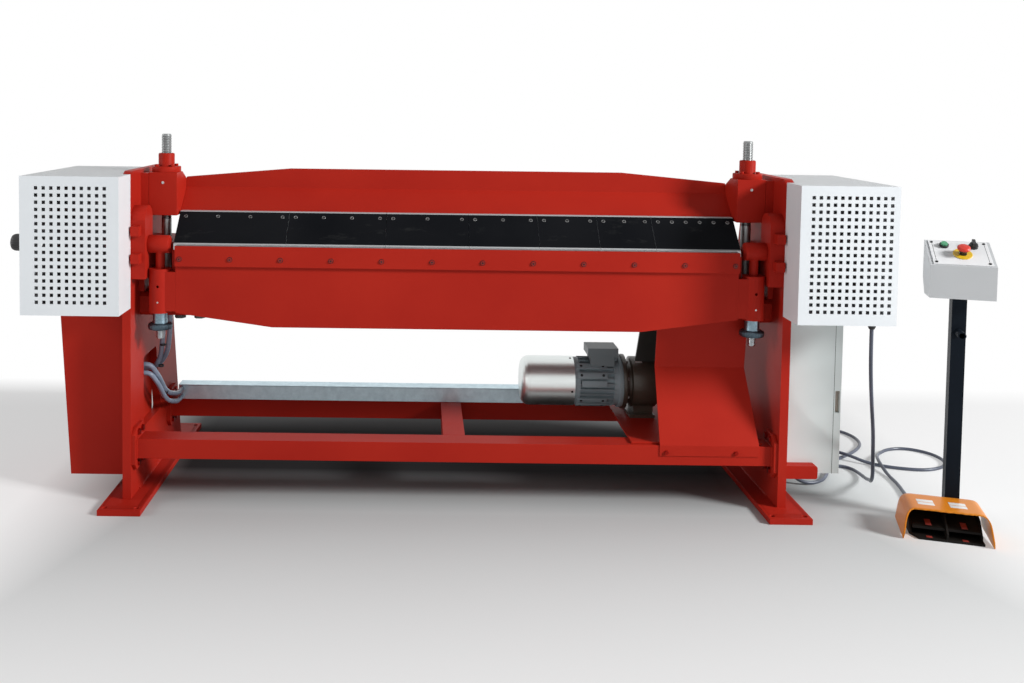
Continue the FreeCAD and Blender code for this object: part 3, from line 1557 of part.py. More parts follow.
def make_cables():
    glands = []
    top = float(d.cover_low) - float(d.gland_length)
    cover_exit = (1430, -450, top)
    cabinet_exits = ((1297, -83), (1300, 10))
    cabinet_z = float(d.cabinet_low) - float(d.gland_length)
    for (x, y), z in [((1430, -450), d.cover_low)] + [(spot, d.cabinet_low) for spot in cabinet_exits]:
        glands.append(turned("gland", [
            (0, 0), (d.gland_radius - 4, 0), (d.gland_radius, 8), (d.gland_radius, d.gland_length),
            (0, d.gland_length)], (as_size(x), as_size(y), z - d.gland_length)))
    pedal_exit = local_point(-90, 6, 34)
    pedal_gland = rod("pedal_gland", "y", (as_size(-90), -d.pedal_rear, as_size(34)),
                      d.gland_radius, as_size(6) + d.pedal_rear)
    glands.append(stand(group("pedal_gland_set", [pedal_gland])))
    keep("cable_glands", group("glands", glands))
    cover_route = [
        cover_exit, (1430, -450, 590), (1440, -436, 490), (1462, -402, 390), (1490, -358, 288),
        (1510, -318, 190), (1526, -276, 86), (1560, -190, 44), (1588, -96, 22), (1604, -8, 9),
        (1596, 62, 7),
        (1548, 90, 7), (1500, 52, 7), (1468, -20, 7), (1424, -84, 7), (1364, -112, 7),
        (1318, -106, 20), (1297, -83, 50), (1297, -83, cabinet_z),
    ]
    keep("cover_cable", shape_part("cover_lead", make_tube("cover cable", cover_route,
                                                           d.cable_radius)))
    lead_in = [tuple(local_point(-96, 124, 12)), tuple(local_point(-90, 66, 34)), tuple(pedal_exit)]
    pedal_route = [
        (1300, 10, cabinet_z), (1300, 10, 62), (1316, 26, 26), (1354, 50, 9), (1425, 86, 7),
        (1515, 112, 7), (1608, 180, 7), (1700, 262, 7), (1764, 352, 7), (1776, 452, 7),
        (1738, 540, 7), (1654, 558, 7), (1592, 490, 7), (1562, 384, 7), (1562, 282, 8),
        (1589, 214, 24), (1630, 166, 24), (1692, 114, 7), (1780, 66, 7), (1890, 44, 7),
        (1982, 84, 7), (2024, 160, 7), (2006, 250, 7), (1930, 308, 7), (1846, 292, 7),
        (1778, 226, 8), (1738, 148, 24), (1718, 76, 24), (1712, -6, 7), (1706, -104, 7),
        (1686, -200, 7),
    ] + lead_in
    keep("pedal_cable", shape_part("pedal_lead", make_tube("pedal cable", pedal_route,
                                                           d.cable_radius)))


# Pedestal: post, control box and pedal, turned towards the operator

def pedestal_placement():
    spot = Vector(float(d.pedestal_x), float(d.pedestal_y), 0)
    return Placement(spot, Rotation(Vector(0, 0, 1), float(d.pedestal_turn)))


def stand(thing, within=None):
    """Put a finished piece of the pedestal where the pedestal stands."""
    doc.recompute()
    placed = pedestal_placement()
    if within is not None:
        placed = placed * within
    thing.Placement = placed * thing.Placement
    return thing


def frozen(name, thing, within=None):
    """A pedestal piece, modelled upright about its post and set down in its place."""
    return keep(name, stand(group(f"{name}_set", [thing]), within))


def make_post():
    half, wall = d.post_side / 2, d.post_wall
    outer = box("post_outside", (-half, -half, d.pedal_plate), (half, half, d.box_bottom))
    inner = box("post_inside", (-half + wall, -half + wall, d.pedal_plate - 1),
                (half - wall, half - wall, d.box_bottom + 1))
    tip = -half - d.peg_length
    peg = cut("post_peg", rod("peg_outside", "y", (0, tip, d.peg_height), d.peg_radius,
                              d.peg_length + wall / 2),
              [rod("peg_inside", "y", (0, tip - 1, d.peg_height), d.peg_bore, d.peg_length)])
    frozen("pedestal_post", fuse("post", [cut("post_tube", outer, [inner]), peg]))


def panel_frame():
    """The tilted panel's own frame: its middle on the box, x along it, z out of it."""
    run = float(d.box_face) + float(d.box_rear)
    rise = float(d.panel_high) - float(d.panel_low)
    middle = Vector(0, -float(d.box_face) + run / 2, (float(d.panel_low) + float(d.panel_high)) / 2)
    return Placement(middle, Rotation(Vector(1, 0, 0), math.degrees(math.atan2(rise, run))))


# Each control's place on the panel, its bore, and the radius and height of its ring.
CONTROLS = {
    "start_button": ((-46, 36), d.start_radius + d.running_gap, d.control_ring_radius, d.control_ring),
    "mode_selector": ((46, 36), d.selector_stem_radius + d.running_gap, d.control_ring_radius,
                      d.control_ring),
    "emergency_stop": ((6, -8), d.stop_stem_radius + d.running_gap, d.stop_ring_radius, d.stop_ring),
}


def control_spot(name, z):
    x, y = CONTROLS[name][0]
    return (as_size(x), as_size(y), z)


def bore_tools(low, length):
    return [rod(f"{name}_bore", "z", control_spot(name, low), CONTROLS[name][1], length)
            for name in CONTROLS]


def make_control_box():
    half = d.box_width / 2
    blank = profile("control_box_blank", [
        (-d.box_face, d.box_bottom),
        (-d.box_face, d.panel_low),
        (d.box_rear, d.panel_high),
        (d.box_rear, d.box_rear_low),
        (d.box_heel, d.box_bottom),
    ], -half, d.box_width)
    deep = bore_tools(-d.control_bore_depth, d.control_bore_depth + 1)
    for tool in deep:
        doc.recompute()
        tool.Placement = panel_frame() * tool.Placement
        for axis in "xyz":
            tool.setExpression(f"Placement.Base.{axis}", None)
    frozen("control_box", cut("control_box_solid", blank, deep))

    tilt = panel_frame()
    run = math.hypot(float(d.box_face) + float(d.box_rear), float(d.panel_high) - float(d.panel_low))
    half_v = as_size(run / 2) - d.panel_margin / 2
    plate = box("panel_plate_blank", (-half + d.panel_margin, -half_v, 0),
                (half - d.panel_margin, half_v, d.panel_plate))
    plate_bores = bore_tools(as_size(-1), d.panel_plate + 2)
    frozen("control_panel", cut("panel_plate_bored", plate, plate_bores), tilt)

    top = d.panel_plate
    rings = []
    for name, (_, bore, outer, height) in CONTROLS.items():
        rings.append(turned(f"{name}_ring", [
            (bore, 0), (outer, 0), (outer, height - 1), (outer - 1, height), (bore, height),
        ], control_spot(name, top)))
    keep("button_bezels", stand(group("bezel_set", rings), tilt))

    radius, length = d.start_radius, d.start_length
    frozen("start_button", turned("start_button_body", [
        (0, 0), (radius, 0), (radius, length - 1.5), (radius - 1, length), (0, length),
    ], control_spot("start_button", top - d.control_depth)), tilt)
    cap, cap_low, length = d.stop_cap_radius, d.stop_cap_low, d.stop_length
    frozen("emergency_stop", turned("mushroom", [
        (0, 0), (d.stop_stem_radius, 0), (d.stop_stem_radius, d.stop_stem),
        (d.stop_neck_radius, d.stop_stem), (d.stop_neck_radius + 1, cap_low), (cap, cap_low + 2),
        (cap, cap_low + 7), (cap - 5, length - 1.5), (0, length),
    ], control_spot("emergency_stop", top - d.stop_depth)), tilt)
    stem_radius, stem, width = d.selector_stem_radius, d.selector_stem, d.selector_cap_radius
    stem_body = turned("selector_stem_body", [
        (0, 0), (stem_radius, 0), (stem_radius, stem), (width, stem),
        (width, stem + d.selector_cap), (0, stem + d.selector_cap),
    ], control_spot("mode_selector", top - d.selector_depth))
    x, y, low = control_spot("mode_selector", top + stem - d.selector_depth + d.selector_cap - 1)
    grip = box("selector_grip_block", (x - d.selector_grip / 2, y - d.selector_grip_length / 2, low),
               (x + d.selector_grip / 2, y + d.selector_grip_length / 2, low + d.selector_grip_height))
    frozen("mode_selector", fuse("selector", [stem_body, grip]), tilt)


def hood_outline(inset):
    """The pedal hood's cross-section from the front: flared sides, a shoulder and a flat top."""
    wide = d.pedal_width / 2 - inset
    narrow = d.pedal_top_width / 2 - inset / 2
    top = d.pedal_height - inset
    c = d.pedal_shift
    foot = wide + d.pedal_flare
    low = NOTHING if inset.value == 0 else as_size(-1)
    return [(c - foot, low), (c - wide, d.pedal_shoulder), (c - narrow, top),
            (c + narrow, top), (c + wide, d.pedal_shoulder), (c + foot, low)]


def make_pedal():
    c, wall, t = d.pedal_shift, d.pedal_wall, d.pedal_sheet
    rear = -d.pedal_rear
    under = d.pedal_height - t
    outer = profile("hood_outside", hood_outline(NOTHING), d.pedal_rear,
                    d.pedal_front - d.pedal_rear, plane="XZ_Plane")
    inner = profile("hood_inside", hood_outline(t), d.pedal_rear - 1,
                    d.pedal_front - d.pedal_rear + 2, plane="XZ_Plane")
    wide = d.pedal_width / 2 + 10
    tail = profile("hood_tail_cut", [
        (-d.pedal_front + d.pedal_tail_start, NOTHING),
        (-d.pedal_front, NOTHING),
        (-d.pedal_front, as_size(-2)),
        (rear + 1, as_size(-2)),
        (rear + 1, d.pedal_tail),
    ], c - wide, wide * 2)
    face_cut = profile("hood_face_cut", [
        (-d.pedal_front - 1, d.pedal_shoulder / 4),
        (-d.pedal_front + d.pedal_face_low, d.pedal_shoulder),
        (-d.pedal_front + d.pedal_face_high, d.pedal_height + 1),
        (-d.pedal_front - 1, d.pedal_height + 1),
    ], c - wide, wide * 2)
    frozen("pedal_hood", cut("hood", outer, [inner, tail, face_cut]))

    half = d.pedal_base_width / 2
    front = -d.pedal_base_front
    plate = d.pedal_plate
    post = d.post_side / 2 + d.pedal_post_room
    floor_plate = profile("pedal_floor", [
        (c - half, rear), (c - half, front + d.pedal_corner_back), (c - half + d.pedal_corner, front),
        (c + half, front), (c + half, rear), (d.post_side, rear), (post, post), (-post, post),
        (-d.post_side, rear),
    ], NOTHING, plate, plane="XY_Plane")
    soft = d.pedal_wall_round
    brow = under - d.pedal_wall_shoulder
    rear_wall = profile("pedal_rear_wall", [
        (c - half, plate), (c - half, brow), (c - half + soft, under),
        (c + half - soft, under), (c + half, brow), (c + half, plate),
    ], d.pedal_rear, wall, plane="XZ_Plane")
    divider = profile("pedal_divider", [
        (front + d.divider_start, plate), (front + d.divider_start, plate + d.divider_low),
        (-d.divider_crest, under), (rear, under), (rear, plate),
    ], c - wall / 2, wall)
    cheek_outline = [
        (front + d.cheek_start, plate), (front + d.cheek_start, plate + d.cheek_low),
        (-d.cheek_crest, d.treadle_pivot_height + d.cheek_rise),
        (rear - wall, d.treadle_pivot_height + d.cheek_tail), (rear - wall, plate),
    ]
    cheeks = [profile("pedal_cheek", cheek_outline, c - half, wall),
              profile("pedal_cheek_right", cheek_outline, c + half - wall, wall)]
    pivot = (-d.treadle_pivot_setback, d.treadle_pivot_height)
    pin = rod("treadle_pin", "x", (c - half, pivot[0], pivot[1]), d.treadle_pin_radius, half * 2)
    frozen("pedal_base", fuse("pedal_base_solid", [floor_plate, rear_wall, divider, pin] + cheeks))

    gap = d.treadle_gap
    for name, start in (("left_treadle", c - half + wall + gap), ("right_treadle", c + wall / 2 + gap)):
        width = half - wall * 1.5 - gap * 2
        plate = profile(f"{name}_plate", [
            (pivot[0], pivot[1] + d.treadle_thickness / 2),
            (-d.treadle_front, d.treadle_front_height),
            (-d.treadle_front, d.treadle_front_height - d.treadle_thickness),
            (pivot[0], pivot[1] - d.treadle_thickness / 2),
        ], start, width)
        hub = rod(f"{name}_hub", "x", (start, pivot[0], pivot[1]), d.treadle_hub_radius, width)
        bore = rod(f"{name}_bore", "x", (start - 1, pivot[0], pivot[1]),
                   d.treadle_pin_radius + d.running_gap, width + 2)
        frozen(name, cut(f"{name}_solid", fuse(f"{name}_blank", [plate, hub]), [bore]))


# Assembly

make_foot_plates()
make_side_frames()
make_stretcher("front_stretcher", -d.front_stretcher_front)
make_stretcher("rear_stretcher", d.rear_stretcher_front)
make_cross_member()
make_lower_beam()
make_hinge_plates()
make_spindles()
make_guide_strips()
make_upper_beam()
make_blade_segments()
make_end_blocks()
make_clamp_nuts()
make_fold_arms()
make_folding_beam()
make_adjusters()
make_fold_gear()
make_fold_shaft()
make_chain_case()
make_motor()
make_gearbox()
make_drive_box()
make_cabinet()
make_angle_knob()
make_trunking()
make_conduits()
make_post()
make_control_box()
make_pedal()
make_cables()
keep("frame_bolts", group("bolts", make_flange_bolts() + make_hinge_screws()
                          + make_spindle_gearboxes() + make_chain_guard() + make_covers()))

doc.recompute()
for item in doc.Objects:
    if "Invalid" in item.State or "Error" in item.State:
        raise RuntimeError(f"{item.Name} failed: {item.State}")
os.makedirs("parts", exist_ok=True)
for name, thing in nodes.items():
    shape = thing.Shape
    if shape.isNull() or not shape.isValid() or not shape.Solids:
        raise RuntimeError(f"{name} has no sound solid")
    shape.exportStep(f"parts/{name}.step")
print(f"{len(nodes)} nodes, {sum(len(thing.Shape.Solids) for thing in nodes.values())} solids")
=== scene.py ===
import bpy
import bmesh
import math
from mathutils import Matrix, Vector


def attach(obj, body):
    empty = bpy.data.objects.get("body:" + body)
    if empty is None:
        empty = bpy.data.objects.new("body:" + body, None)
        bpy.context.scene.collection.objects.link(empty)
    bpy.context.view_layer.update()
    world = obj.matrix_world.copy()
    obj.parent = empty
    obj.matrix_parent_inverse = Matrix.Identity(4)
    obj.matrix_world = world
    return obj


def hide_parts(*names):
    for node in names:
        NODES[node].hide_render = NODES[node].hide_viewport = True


# Looks of a motor-driven sheet metal folder. The scene is in metres, in the frame of the packed
# model, with X along the row of blades and Y to the rear. Shapes made here are in millimetres
# until they become pieces.

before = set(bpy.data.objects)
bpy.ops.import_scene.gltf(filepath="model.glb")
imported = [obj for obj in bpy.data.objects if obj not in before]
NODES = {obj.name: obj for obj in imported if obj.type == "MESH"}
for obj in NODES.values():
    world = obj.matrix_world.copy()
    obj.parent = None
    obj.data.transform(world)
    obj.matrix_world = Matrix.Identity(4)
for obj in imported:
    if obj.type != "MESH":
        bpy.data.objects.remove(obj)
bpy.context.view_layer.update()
# The diameter of both cables.
CABLE = 0.013
MILLIMETRE = 0.001
SIDES = (-1, 1)
SIDE_NAMES = {-1: "left", 1: "right"}


# Camera

def aim_camera(place, pitch, roll, lens, shift):
    """A camera that looks along +Y, pitched down and rolled about its own axis."""
    forward = Vector((0, math.cos(pitch), -math.sin(pitch)))
    level = Vector((1, 0, 0))
    rise = level.cross(forward)
    right = level * math.cos(roll) + rise * math.sin(roll)
    up = rise * math.cos(roll) - level * math.sin(roll)
    turn = Matrix((right, up, -forward)).transposed()
    data = bpy.data.cameras.new("camera")
    data.lens = lens
    data.shift_x, data.shift_y = shift
    camera = bpy.data.objects.new("camera", data)
    camera.matrix_world = Matrix.Translation(place) @ turn.to_4x4()
    bpy.context.scene.collection.objects.link(camera)
    bpy.context.scene.camera = camera


aim_camera(place=(-0.128, -3.908, 1.426), pitch=math.radians(2.88), roll=math.radians(0.73),
           lens=35.57, shift=(0.0876, -0.18))


# Cables

POST = Vector((1.722, -0.455, 0))
POST_TURN = math.radians(-16)


def beside_post(x, y, z):
    """A point given from the foot of the control post, in the model's frame."""
    turned = Matrix.Rotation(POST_TURN, 3, "Z") @ Vector((x, y, z))
    return tuple(POST + turned)


COVER_CABLE_ROUTE = [
    (1.43, -0.45, 0.678), (1.43, -0.45, 0.59), (1.44, -0.436, 0.49), (1.462, -0.402, 0.39),
    (1.49, -0.358, 0.288), (1.51, -0.318, 0.19), (1.524, -0.292, 0.108), (1.536, -0.254, 0.07),
    (1.562, -0.18, 0.05), (1.588, -0.096, 0.022), (1.604, -0.008, 0.009),
    (1.596, 0.062, 0.007), (1.548, 0.09, 0.007), (1.5, 0.052, 0.007), (1.468, -0.02, 0.007),
    (1.424, -0.084, 0.007), (1.364, -0.112, 0.007),
    (1.318, -0.106, 0.02), (1.297, -0.083, 0.05), (1.297, -0.083, 0.086),
]
PEDAL_CABLE_ROUTE = [
    (1.3, 0.01, 0.086), (1.3, 0.01, 0.062), (1.316, 0.026, 0.026), (1.354, 0.05, 0.009),
    (1.425, 0.086, 0.007), (1.515, 0.112, 0.007), (1.608, 0.18, 0.007), (1.7, 0.262, 0.007),
    (1.764, 0.352, 0.007), (1.776, 0.452, 0.007), (1.738, 0.54, 0.007), (1.654, 0.558, 0.007),
    (1.592, 0.49, 0.007), (1.562, 0.384, 0.007), (1.562, 0.282, 0.008), (1.589, 0.214, 0.024),
    (1.63, 0.166, 0.024), (1.692, 0.114, 0.007), (1.78, 0.066, 0.007), (1.89, 0.044, 0.007),
    (1.982, 0.084, 0.007), (2.024, 0.16, 0.007), (2.006, 0.25, 0.007), (1.93, 0.308, 0.007),
    (1.846, 0.292, 0.007), (1.778, 0.226, 0.008), (1.738, 0.148, 0.024), (1.718, 0.076, 0.024),
    (1.712, -0.006, 0.007), (1.706, -0.104, 0.007), (1.686, -0.2, 0.007),
    beside_post(-0.096, 0.124, 0.012), beside_post(-0.09, 0.066, 0.034),
    beside_post(-0.09, 0.006, 0.034),
]


def lay_cable(name, node, route):
    """A round cable along a smooth line that has the route's points as control points."""
    data = bpy.data.curves.new(name, "CURVE")
    data.dimensions = "3D"
    data.bevel_depth = 1
    data.bevel_resolution = 4
    data.use_fill_caps = True
    spline = data.splines.new("NURBS")
    spline.points.add(len(route) - 1)
    for point, place in zip(spline.points, route):
        point.co = (*place, 1)
        point.radius = CABLE / 2
    spline.order_u = 3
    spline.use_endpoint_u = True
    spline.resolution_u = 10
    cable = bpy.data.objects.new(name, data)
    bpy.context.scene.collection.objects.link(cable)
    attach(cable, "frame")
    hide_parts(node)
    return cable


cover_lead = lay_cable("cover_lead", "cover_cable", COVER_CABLE_ROUTE)
pedal_lead = lay_cable("pedal_lead", "pedal_cable", PEDAL_CABLE_ROUTE)


# Materials

def srgb(red, green, blue):
    """A colour given as 0 to 255 on screen, as the shader's linear numbers."""
    def linear(value):
        value /= 255
        return value / 12.92 if value <= 0.04045 else ((value + 0.055) / 1.055) ** 2.4
    return (linear(red), linear(green), linear(blue), 1)


# Places of the mix node's sockets for colours.
MIX_SHARE, MIX_FIRST, MIX_SECOND, MIX_RESULT = 0, 6, 7, 2


class Surface:
    """A node material built step by step round one Principled shader.

    A source is a pair: a node and its output's name or number.
    """

    def __init__(self, name):
        self.material = bpy.data.materials.new(name)
        self.material.use_nodes = True
        self.tree = self.material.node_tree
        self.tree.nodes.clear()
        self.output = self.add("ShaderNodeOutputMaterial")
        self.shader = self.add("ShaderNodeBsdfPrincipled")
        self.link(self.shader, "BSDF", self.output, "Surface")
        self.coordinates = self.add("ShaderNodeTexCoord")
        self.colour = None
        self.relief = None

    def add(self, kind, **settings):
        """One more node of a kind, with its settings."""
        node = self.tree.nodes.new(kind)
        for name, value in settings.items():
            setattr(node, name, value)
        return node

    def link(self, source, output, target, entry):
        """A wire from a node's output to a target's entry."""
        self.tree.links.new(source.outputs[output], target.inputs[entry])

    def set(self, **values):
        """Uniform values, set on the shader's own sockets."""
        for name, value in values.items():
            self.shader.inputs[name.replace("_", " ")].default_value = value

    def noise(self, scale, detail, roughness=0.5, stretch=(1, 1, 1)):
        """Cloudy noise by the object's own place, made finer along each axis by stretch."""
        mapping = self.add("ShaderNodeMapping")
        mapping.inputs["Scale"].default_value = stretch
        self.link(self.coordinates, "Object", mapping, "Vector")
        node = self.add("ShaderNodeTexNoise")
        node.inputs["Scale"].default_value = scale
        node.inputs["Detail"].default_value = detail
        node.inputs["Roughness"].default_value = roughness
        self.link(mapping, "Vector", node, "Vector")
        return node, "Fac"

    def ranged(self, source, low, high, out_low=0, out_high=1):
        """A value taken from low..high to out_low..out_high."""
        node = self.add("ShaderNodeMapRange")
        node.inputs["From Min"].default_value = low
        node.inputs["From Max"].default_value = high
        node.inputs["To Min"].default_value = out_low
        node.inputs["To Max"].default_value = out_high
        self.link(*source, node, "Value")
        return node, "Result"

    def maths(self, operation, first, second=None):
        """An operation on one or two values, each a number or a source."""
        node = self.add("ShaderNodeMath", operation=operation)
        for entry, value in enumerate((first, second)):
            if isinstance(value, tuple):
                self.link(*value, node, entry)
            elif value is not None:
                node.inputs[entry].default_value = value
        return node, "Value"

    def mixed(self, share, first, second):
        """A colour between first and second, each a colour or a source."""
        node = self.add("ShaderNodeMix", data_type="RGBA")
        self.link(*share, node, MIX_SHARE)
        for entry, value in ((MIX_FIRST, first), (MIX_SECOND, second)):
            if len(value) == 4:
                node.inputs[entry].default_value = value
            else:
                self.link(*value, node, entry)
        return node, MIX_RESULT

    def base(self, source):
        """The colour of the surface."""
        self.colour = source
        self.link(*source, self.shader, "Base Color")

    def over(self, share, colour):
        """One more colour on top of the present one, where share is one."""
        self.base(self.mixed(share, self.colour, colour))

    def rough(self, source):
        """How dull the surface is, from 0 for a mirror to 1."""
        self.link(*source, self.shader, "Roughness")

    def bump(self, source, distance, strength=1.0):
        """One more layer of relief on top of those already given."""
        node = self.add("ShaderNodeBump")
        node.inputs["Distance"].default_value = distance
        node.inputs["Strength"].default_value = strength
        self.link(*source, node, "Height")
        if self.relief is not None:
            self.link(self.relief, "Normal", node, "Normal")
        self.relief = node
        self.link(node, "Normal", self.shader, "Normal")

    def along(self, axis, kind="Object"):
        """One coordinate of the object's own place, or of its face direction."""
        node = self.add("ShaderNodeSeparateXYZ")
        self.link(self.coordinates, kind, node, "Vector")
        return node, axis

    def beyond(self, direction):
        """How far the object's own place lies along a direction."""
        node = self.add("ShaderNodeVectorMath", operation="DOT_PRODUCT")
        self.link(self.coordinates, "Object", node, 0)
        node.inputs[1].default_value = direction
        return node, "Value"

    def above(self, source, limit, soft=0.0005):
        """One where the value is over the limit, else nothing."""
        return self.ranged(source, limit - soft, limit + soft)

    def below(self, source, limit, soft=0.0005):
        """One where the value is under the limit, else nothing."""
        return self.ranged(source, limit - soft, limit + soft, 1, 0)

    def coordinate_pair(self, first, second):
        """Two coordinates of the object's own place, as one vector."""
        node = self.add("ShaderNodeCombineXYZ")
        for entry, axis in enumerate((first, second)):
            self.link(*self.along(axis), node, entry)
        return node, "Vector"

    def hole_grid(self, plane, pitch, hole):
        """One inside each hole of a square grid on the plane's two coordinates."""
        split = self.add("ShaderNodeSeparateXYZ")
        self.link(*plane, split, "Vector")
        squares = []
        for axis in ("X", "Y"):
            cell = self.maths("PINGPONG", (split, axis), pitch / 2)
            squares.append(self.maths("POWER", cell, 2))
        distance = self.maths("SQRT", self.maths("ADD", *squares))
        return self.below(distance, hole, hole / 4)


# Most of the noise lies between these values.
NOISE_SPAN = (0.3, 0.7)
# How closely a face has to point along an axis to count as facing that way.
FACING = 0.9


def painted(name, colour, shade, roughness, grain=420.0, relief=0.00012, coat=0.0, scuffs=0.06,
            gloss=0.3):
    """Sprayed or powder paint: cloudy tone, orange peel and a few rubbed spots."""
    made = Surface(name)
    cloud = made.ranged(made.noise(scale=2.3, detail=4), *NOISE_SPAN)
    made.base(made.mixed(cloud, shade, colour))
    wear = made.ranged(made.noise(scale=9, detail=6, roughness=0.7), low=0.55, high=0.8)
    made.rough(made.maths("ADD", made.maths("MULTIPLY", wear, scuffs), roughness))
    made.bump(made.noise(grain, detail=2), relief)
    made.set(Coat_Weight=coat, Coat_Roughness=0.12, IOR=1.5, Specular_IOR_Level=gloss)
    return made


def metal(name, colour, shade, roughness, streak=(1, 1, 1), grain=260.0, relief=0.00005,
          spread=0.12):
    """Bare metal with machining streaks along one axis."""
    made = Surface(name)
    lines = made.noise(grain, detail=3, roughness=0.6, stretch=streak)
    made.base(made.mixed(made.ranged(lines, *NOISE_SPAN), shade, colour))
    smear = made.ranged(made.noise(scale=7, detail=4), low=0.35, high=0.7, out_high=spread)
    made.rough(made.maths("ADD", smear, roughness))
    made.bump(lines, relief)
    made.set(Metallic=1.0)
    return made


def moulded(name, colour, shade, roughness, grain=900.0, relief=0.00006):
    """Moulded plastic or rubber with a fine grain."""
    made = Surface(name)
    cloud = made.ranged(made.noise(scale=14, detail=3), *NOISE_SPAN)
    made.base(made.mixed(cloud, shade, colour))
    made.rough(made.ranged(made.noise(scale=40, detail=3), *NOISE_SPAN,
                           out_low=roughness - 0.06, out_high=roughness + 0.08))
    made.bump(made.noise(grain, detail=2), relief)
    return made


def perforated(name, colour, shade, roughness, pitch=0.011, hole=0.0035, side=1.46, front=-0.515):
    """Powder-coated sheet whose top and outer sides carry fine rows of round holes."""
    made = painted(name, colour, shade, roughness, grain=700, relief=0.00006)
    upward = made.above(made.along("Z", "Normal"), FACING, soft=0.05)
    sideways = made.above(made.maths("ABSOLUTE", made.along("X", "Normal")), FACING, soft=0.05)
    outer = made.maths("MULTIPLY", sideways,
                       made.above(made.maths("ABSOLUTE", made.along("X")), side, soft=0.002))
    across = made.mixed(upward, made.coordinate_pair("Y", "Z"), made.coordinate_pair("X", "Y"))
    holes = made.hole_grid(across, pitch, hole)
    share = made.maths("MULTIPLY", holes, made.maths("MAXIMUM", upward, outer))
    inside = made.above(made.along("Y"), front, soft=0.004)
    share = made.maths("MULTIPLY", share, inside)
    made.over(share, srgb(112, 113, 114))
    made.bump(share, distance=0.0008, strength=-0.6)
    return made


red_paint = painted("red_paint", srgb(174, 40, 27), srgb(162, 33, 23), 0.46, gloss=0.08)
white_coat = perforated("white_coat", srgb(229, 232, 234), srgb(222, 226, 229), 0.42)
front_coat = painted("front_coat", srgb(229, 233, 236), srgb(222, 227, 231), 0.42, grain=700,
                     relief=0.00006)
panel_white = painted("panel_white", srgb(236, 237, 238), srgb(229, 230, 232), 0.3, grain=900,
                      relief=0.00003)
box_grey = painted("box_grey", srgb(198, 200, 202), srgb(190, 193, 195), 0.38, grain=600,
                   relief=0.00008)
cabinet_grey = painted("cabinet_grey", srgb(219, 229, 228), srgb(210, 220, 219), 0.4, grain=600,
                       relief=0.0001)
post_paint = painted("post_paint", srgb(26, 32, 40), srgb(19, 24, 31), 0.34, grain=500, gloss=0.04)
orange_paint = painted("orange_paint", srgb(226, 140, 36), srgb(214, 124, 28), 0.3, grain=380,
                       relief=0.0002, coat=0.08, scuffs=0.1, gloss=0.16)
label_white = painted("label_white", srgb(236, 236, 234), srgb(226, 226, 224), 0.3, grain=900,
                      relief=0.00002)
stop_yellow = moulded("stop_yellow", srgb(236, 196, 44), srgb(224, 182, 34), 0.34)
ground_steel = metal("ground_steel", (0.62, 0.63, 0.64, 1), (0.46, 0.47, 0.48, 1), 0.26,
                     streak=(0.04, 1, 1))
turned_steel = metal("turned_steel", (0.58, 0.6, 0.61, 1), (0.36, 0.39, 0.41, 1), 0.22,
                     streak=(1, 1, 0.2))
nut_steel = metal("nut_steel", (0.26, 0.36, 0.42, 1), (0.14, 0.2, 0.24, 1), 0.24)
nut_dark = metal("nut_dark", (0.1, 0.14, 0.17, 1), (0.055, 0.08, 0.1, 1), 0.36)
gear_steel = metal("gear_steel", (0.3, 0.3, 0.3, 1), (0.16, 0.15, 0.14, 1), 0.34)
worn_steel = metal("worn_steel", (0.24, 0.24, 0.24, 1), (0.05, 0.05, 0.05, 1), 0.4, grain=120,
                   relief=0.0002)
screw_steel = metal("screw_steel", (0.36, 0.37, 0.37, 1), (0.24, 0.25, 0.25, 1), 0.38,
                    streak=(1, 1, 0.2))
galvanised = metal("galvanised", (0.62, 0.76, 0.82, 1), (0.5, 0.63, 0.69, 1), 0.4, grain=40)
fan_metal = metal("fan_metal", (0.8, 0.84, 0.83, 1), (0.74, 0.78, 0.77, 1), 0.32,
                  streak=(0.1, 1, 1), grain=60, relief=0.00002, spread=0.06)
motor_paint = painted("motor_paint", srgb(168, 184, 190), srgb(134, 149, 155), 0.4, grain=260,
                      relief=0.0003)
terminal_paint = painted("terminal_paint", srgb(130, 143, 147), srgb(112, 124, 128), 0.42,
                         grain=240, relief=0.0003)
cast_dark = painted("cast_dark", srgb(92, 83, 72), srgb(60, 55, 49), 0.34, grain=220, relief=0.0005,
                    gloss=0.5)
case_grey = painted("case_grey", srgb(62, 64, 60), srgb(46, 48, 45), 0.4, grain=200, relief=0.0003)
ring_dark = painted("ring_dark", srgb(26, 27, 28), srgb(18, 19, 20), 0.4, grain=220, relief=0.0004)
black_plastic = moulded("black_plastic", srgb(26, 26, 28), srgb(18, 18, 20), 0.42)
pedal_black = moulded("pedal_black", srgb(28, 25, 23), srgb(19, 17, 16), 0.5)
pedal_black.set(Specular_IOR_Level=0.1)
pad_red = moulded("pad_red", srgb(150, 50, 40), srgb(128, 40, 32), 0.55)
sheath = moulded("sheath", srgb(82, 88, 104), srgb(66, 71, 84), 0.34, grain=300)
tube_grey = moulded("tube_grey", srgb(150, 164, 184), srgb(124, 138, 158), 0.3, grain=300)
stop_red = moulded("stop_red", srgb(218, 52, 30), srgb(200, 42, 24), 0.3)
green_cap = moulded("green_cap", srgb(84, 166, 122), srgb(68, 148, 106), 0.3)

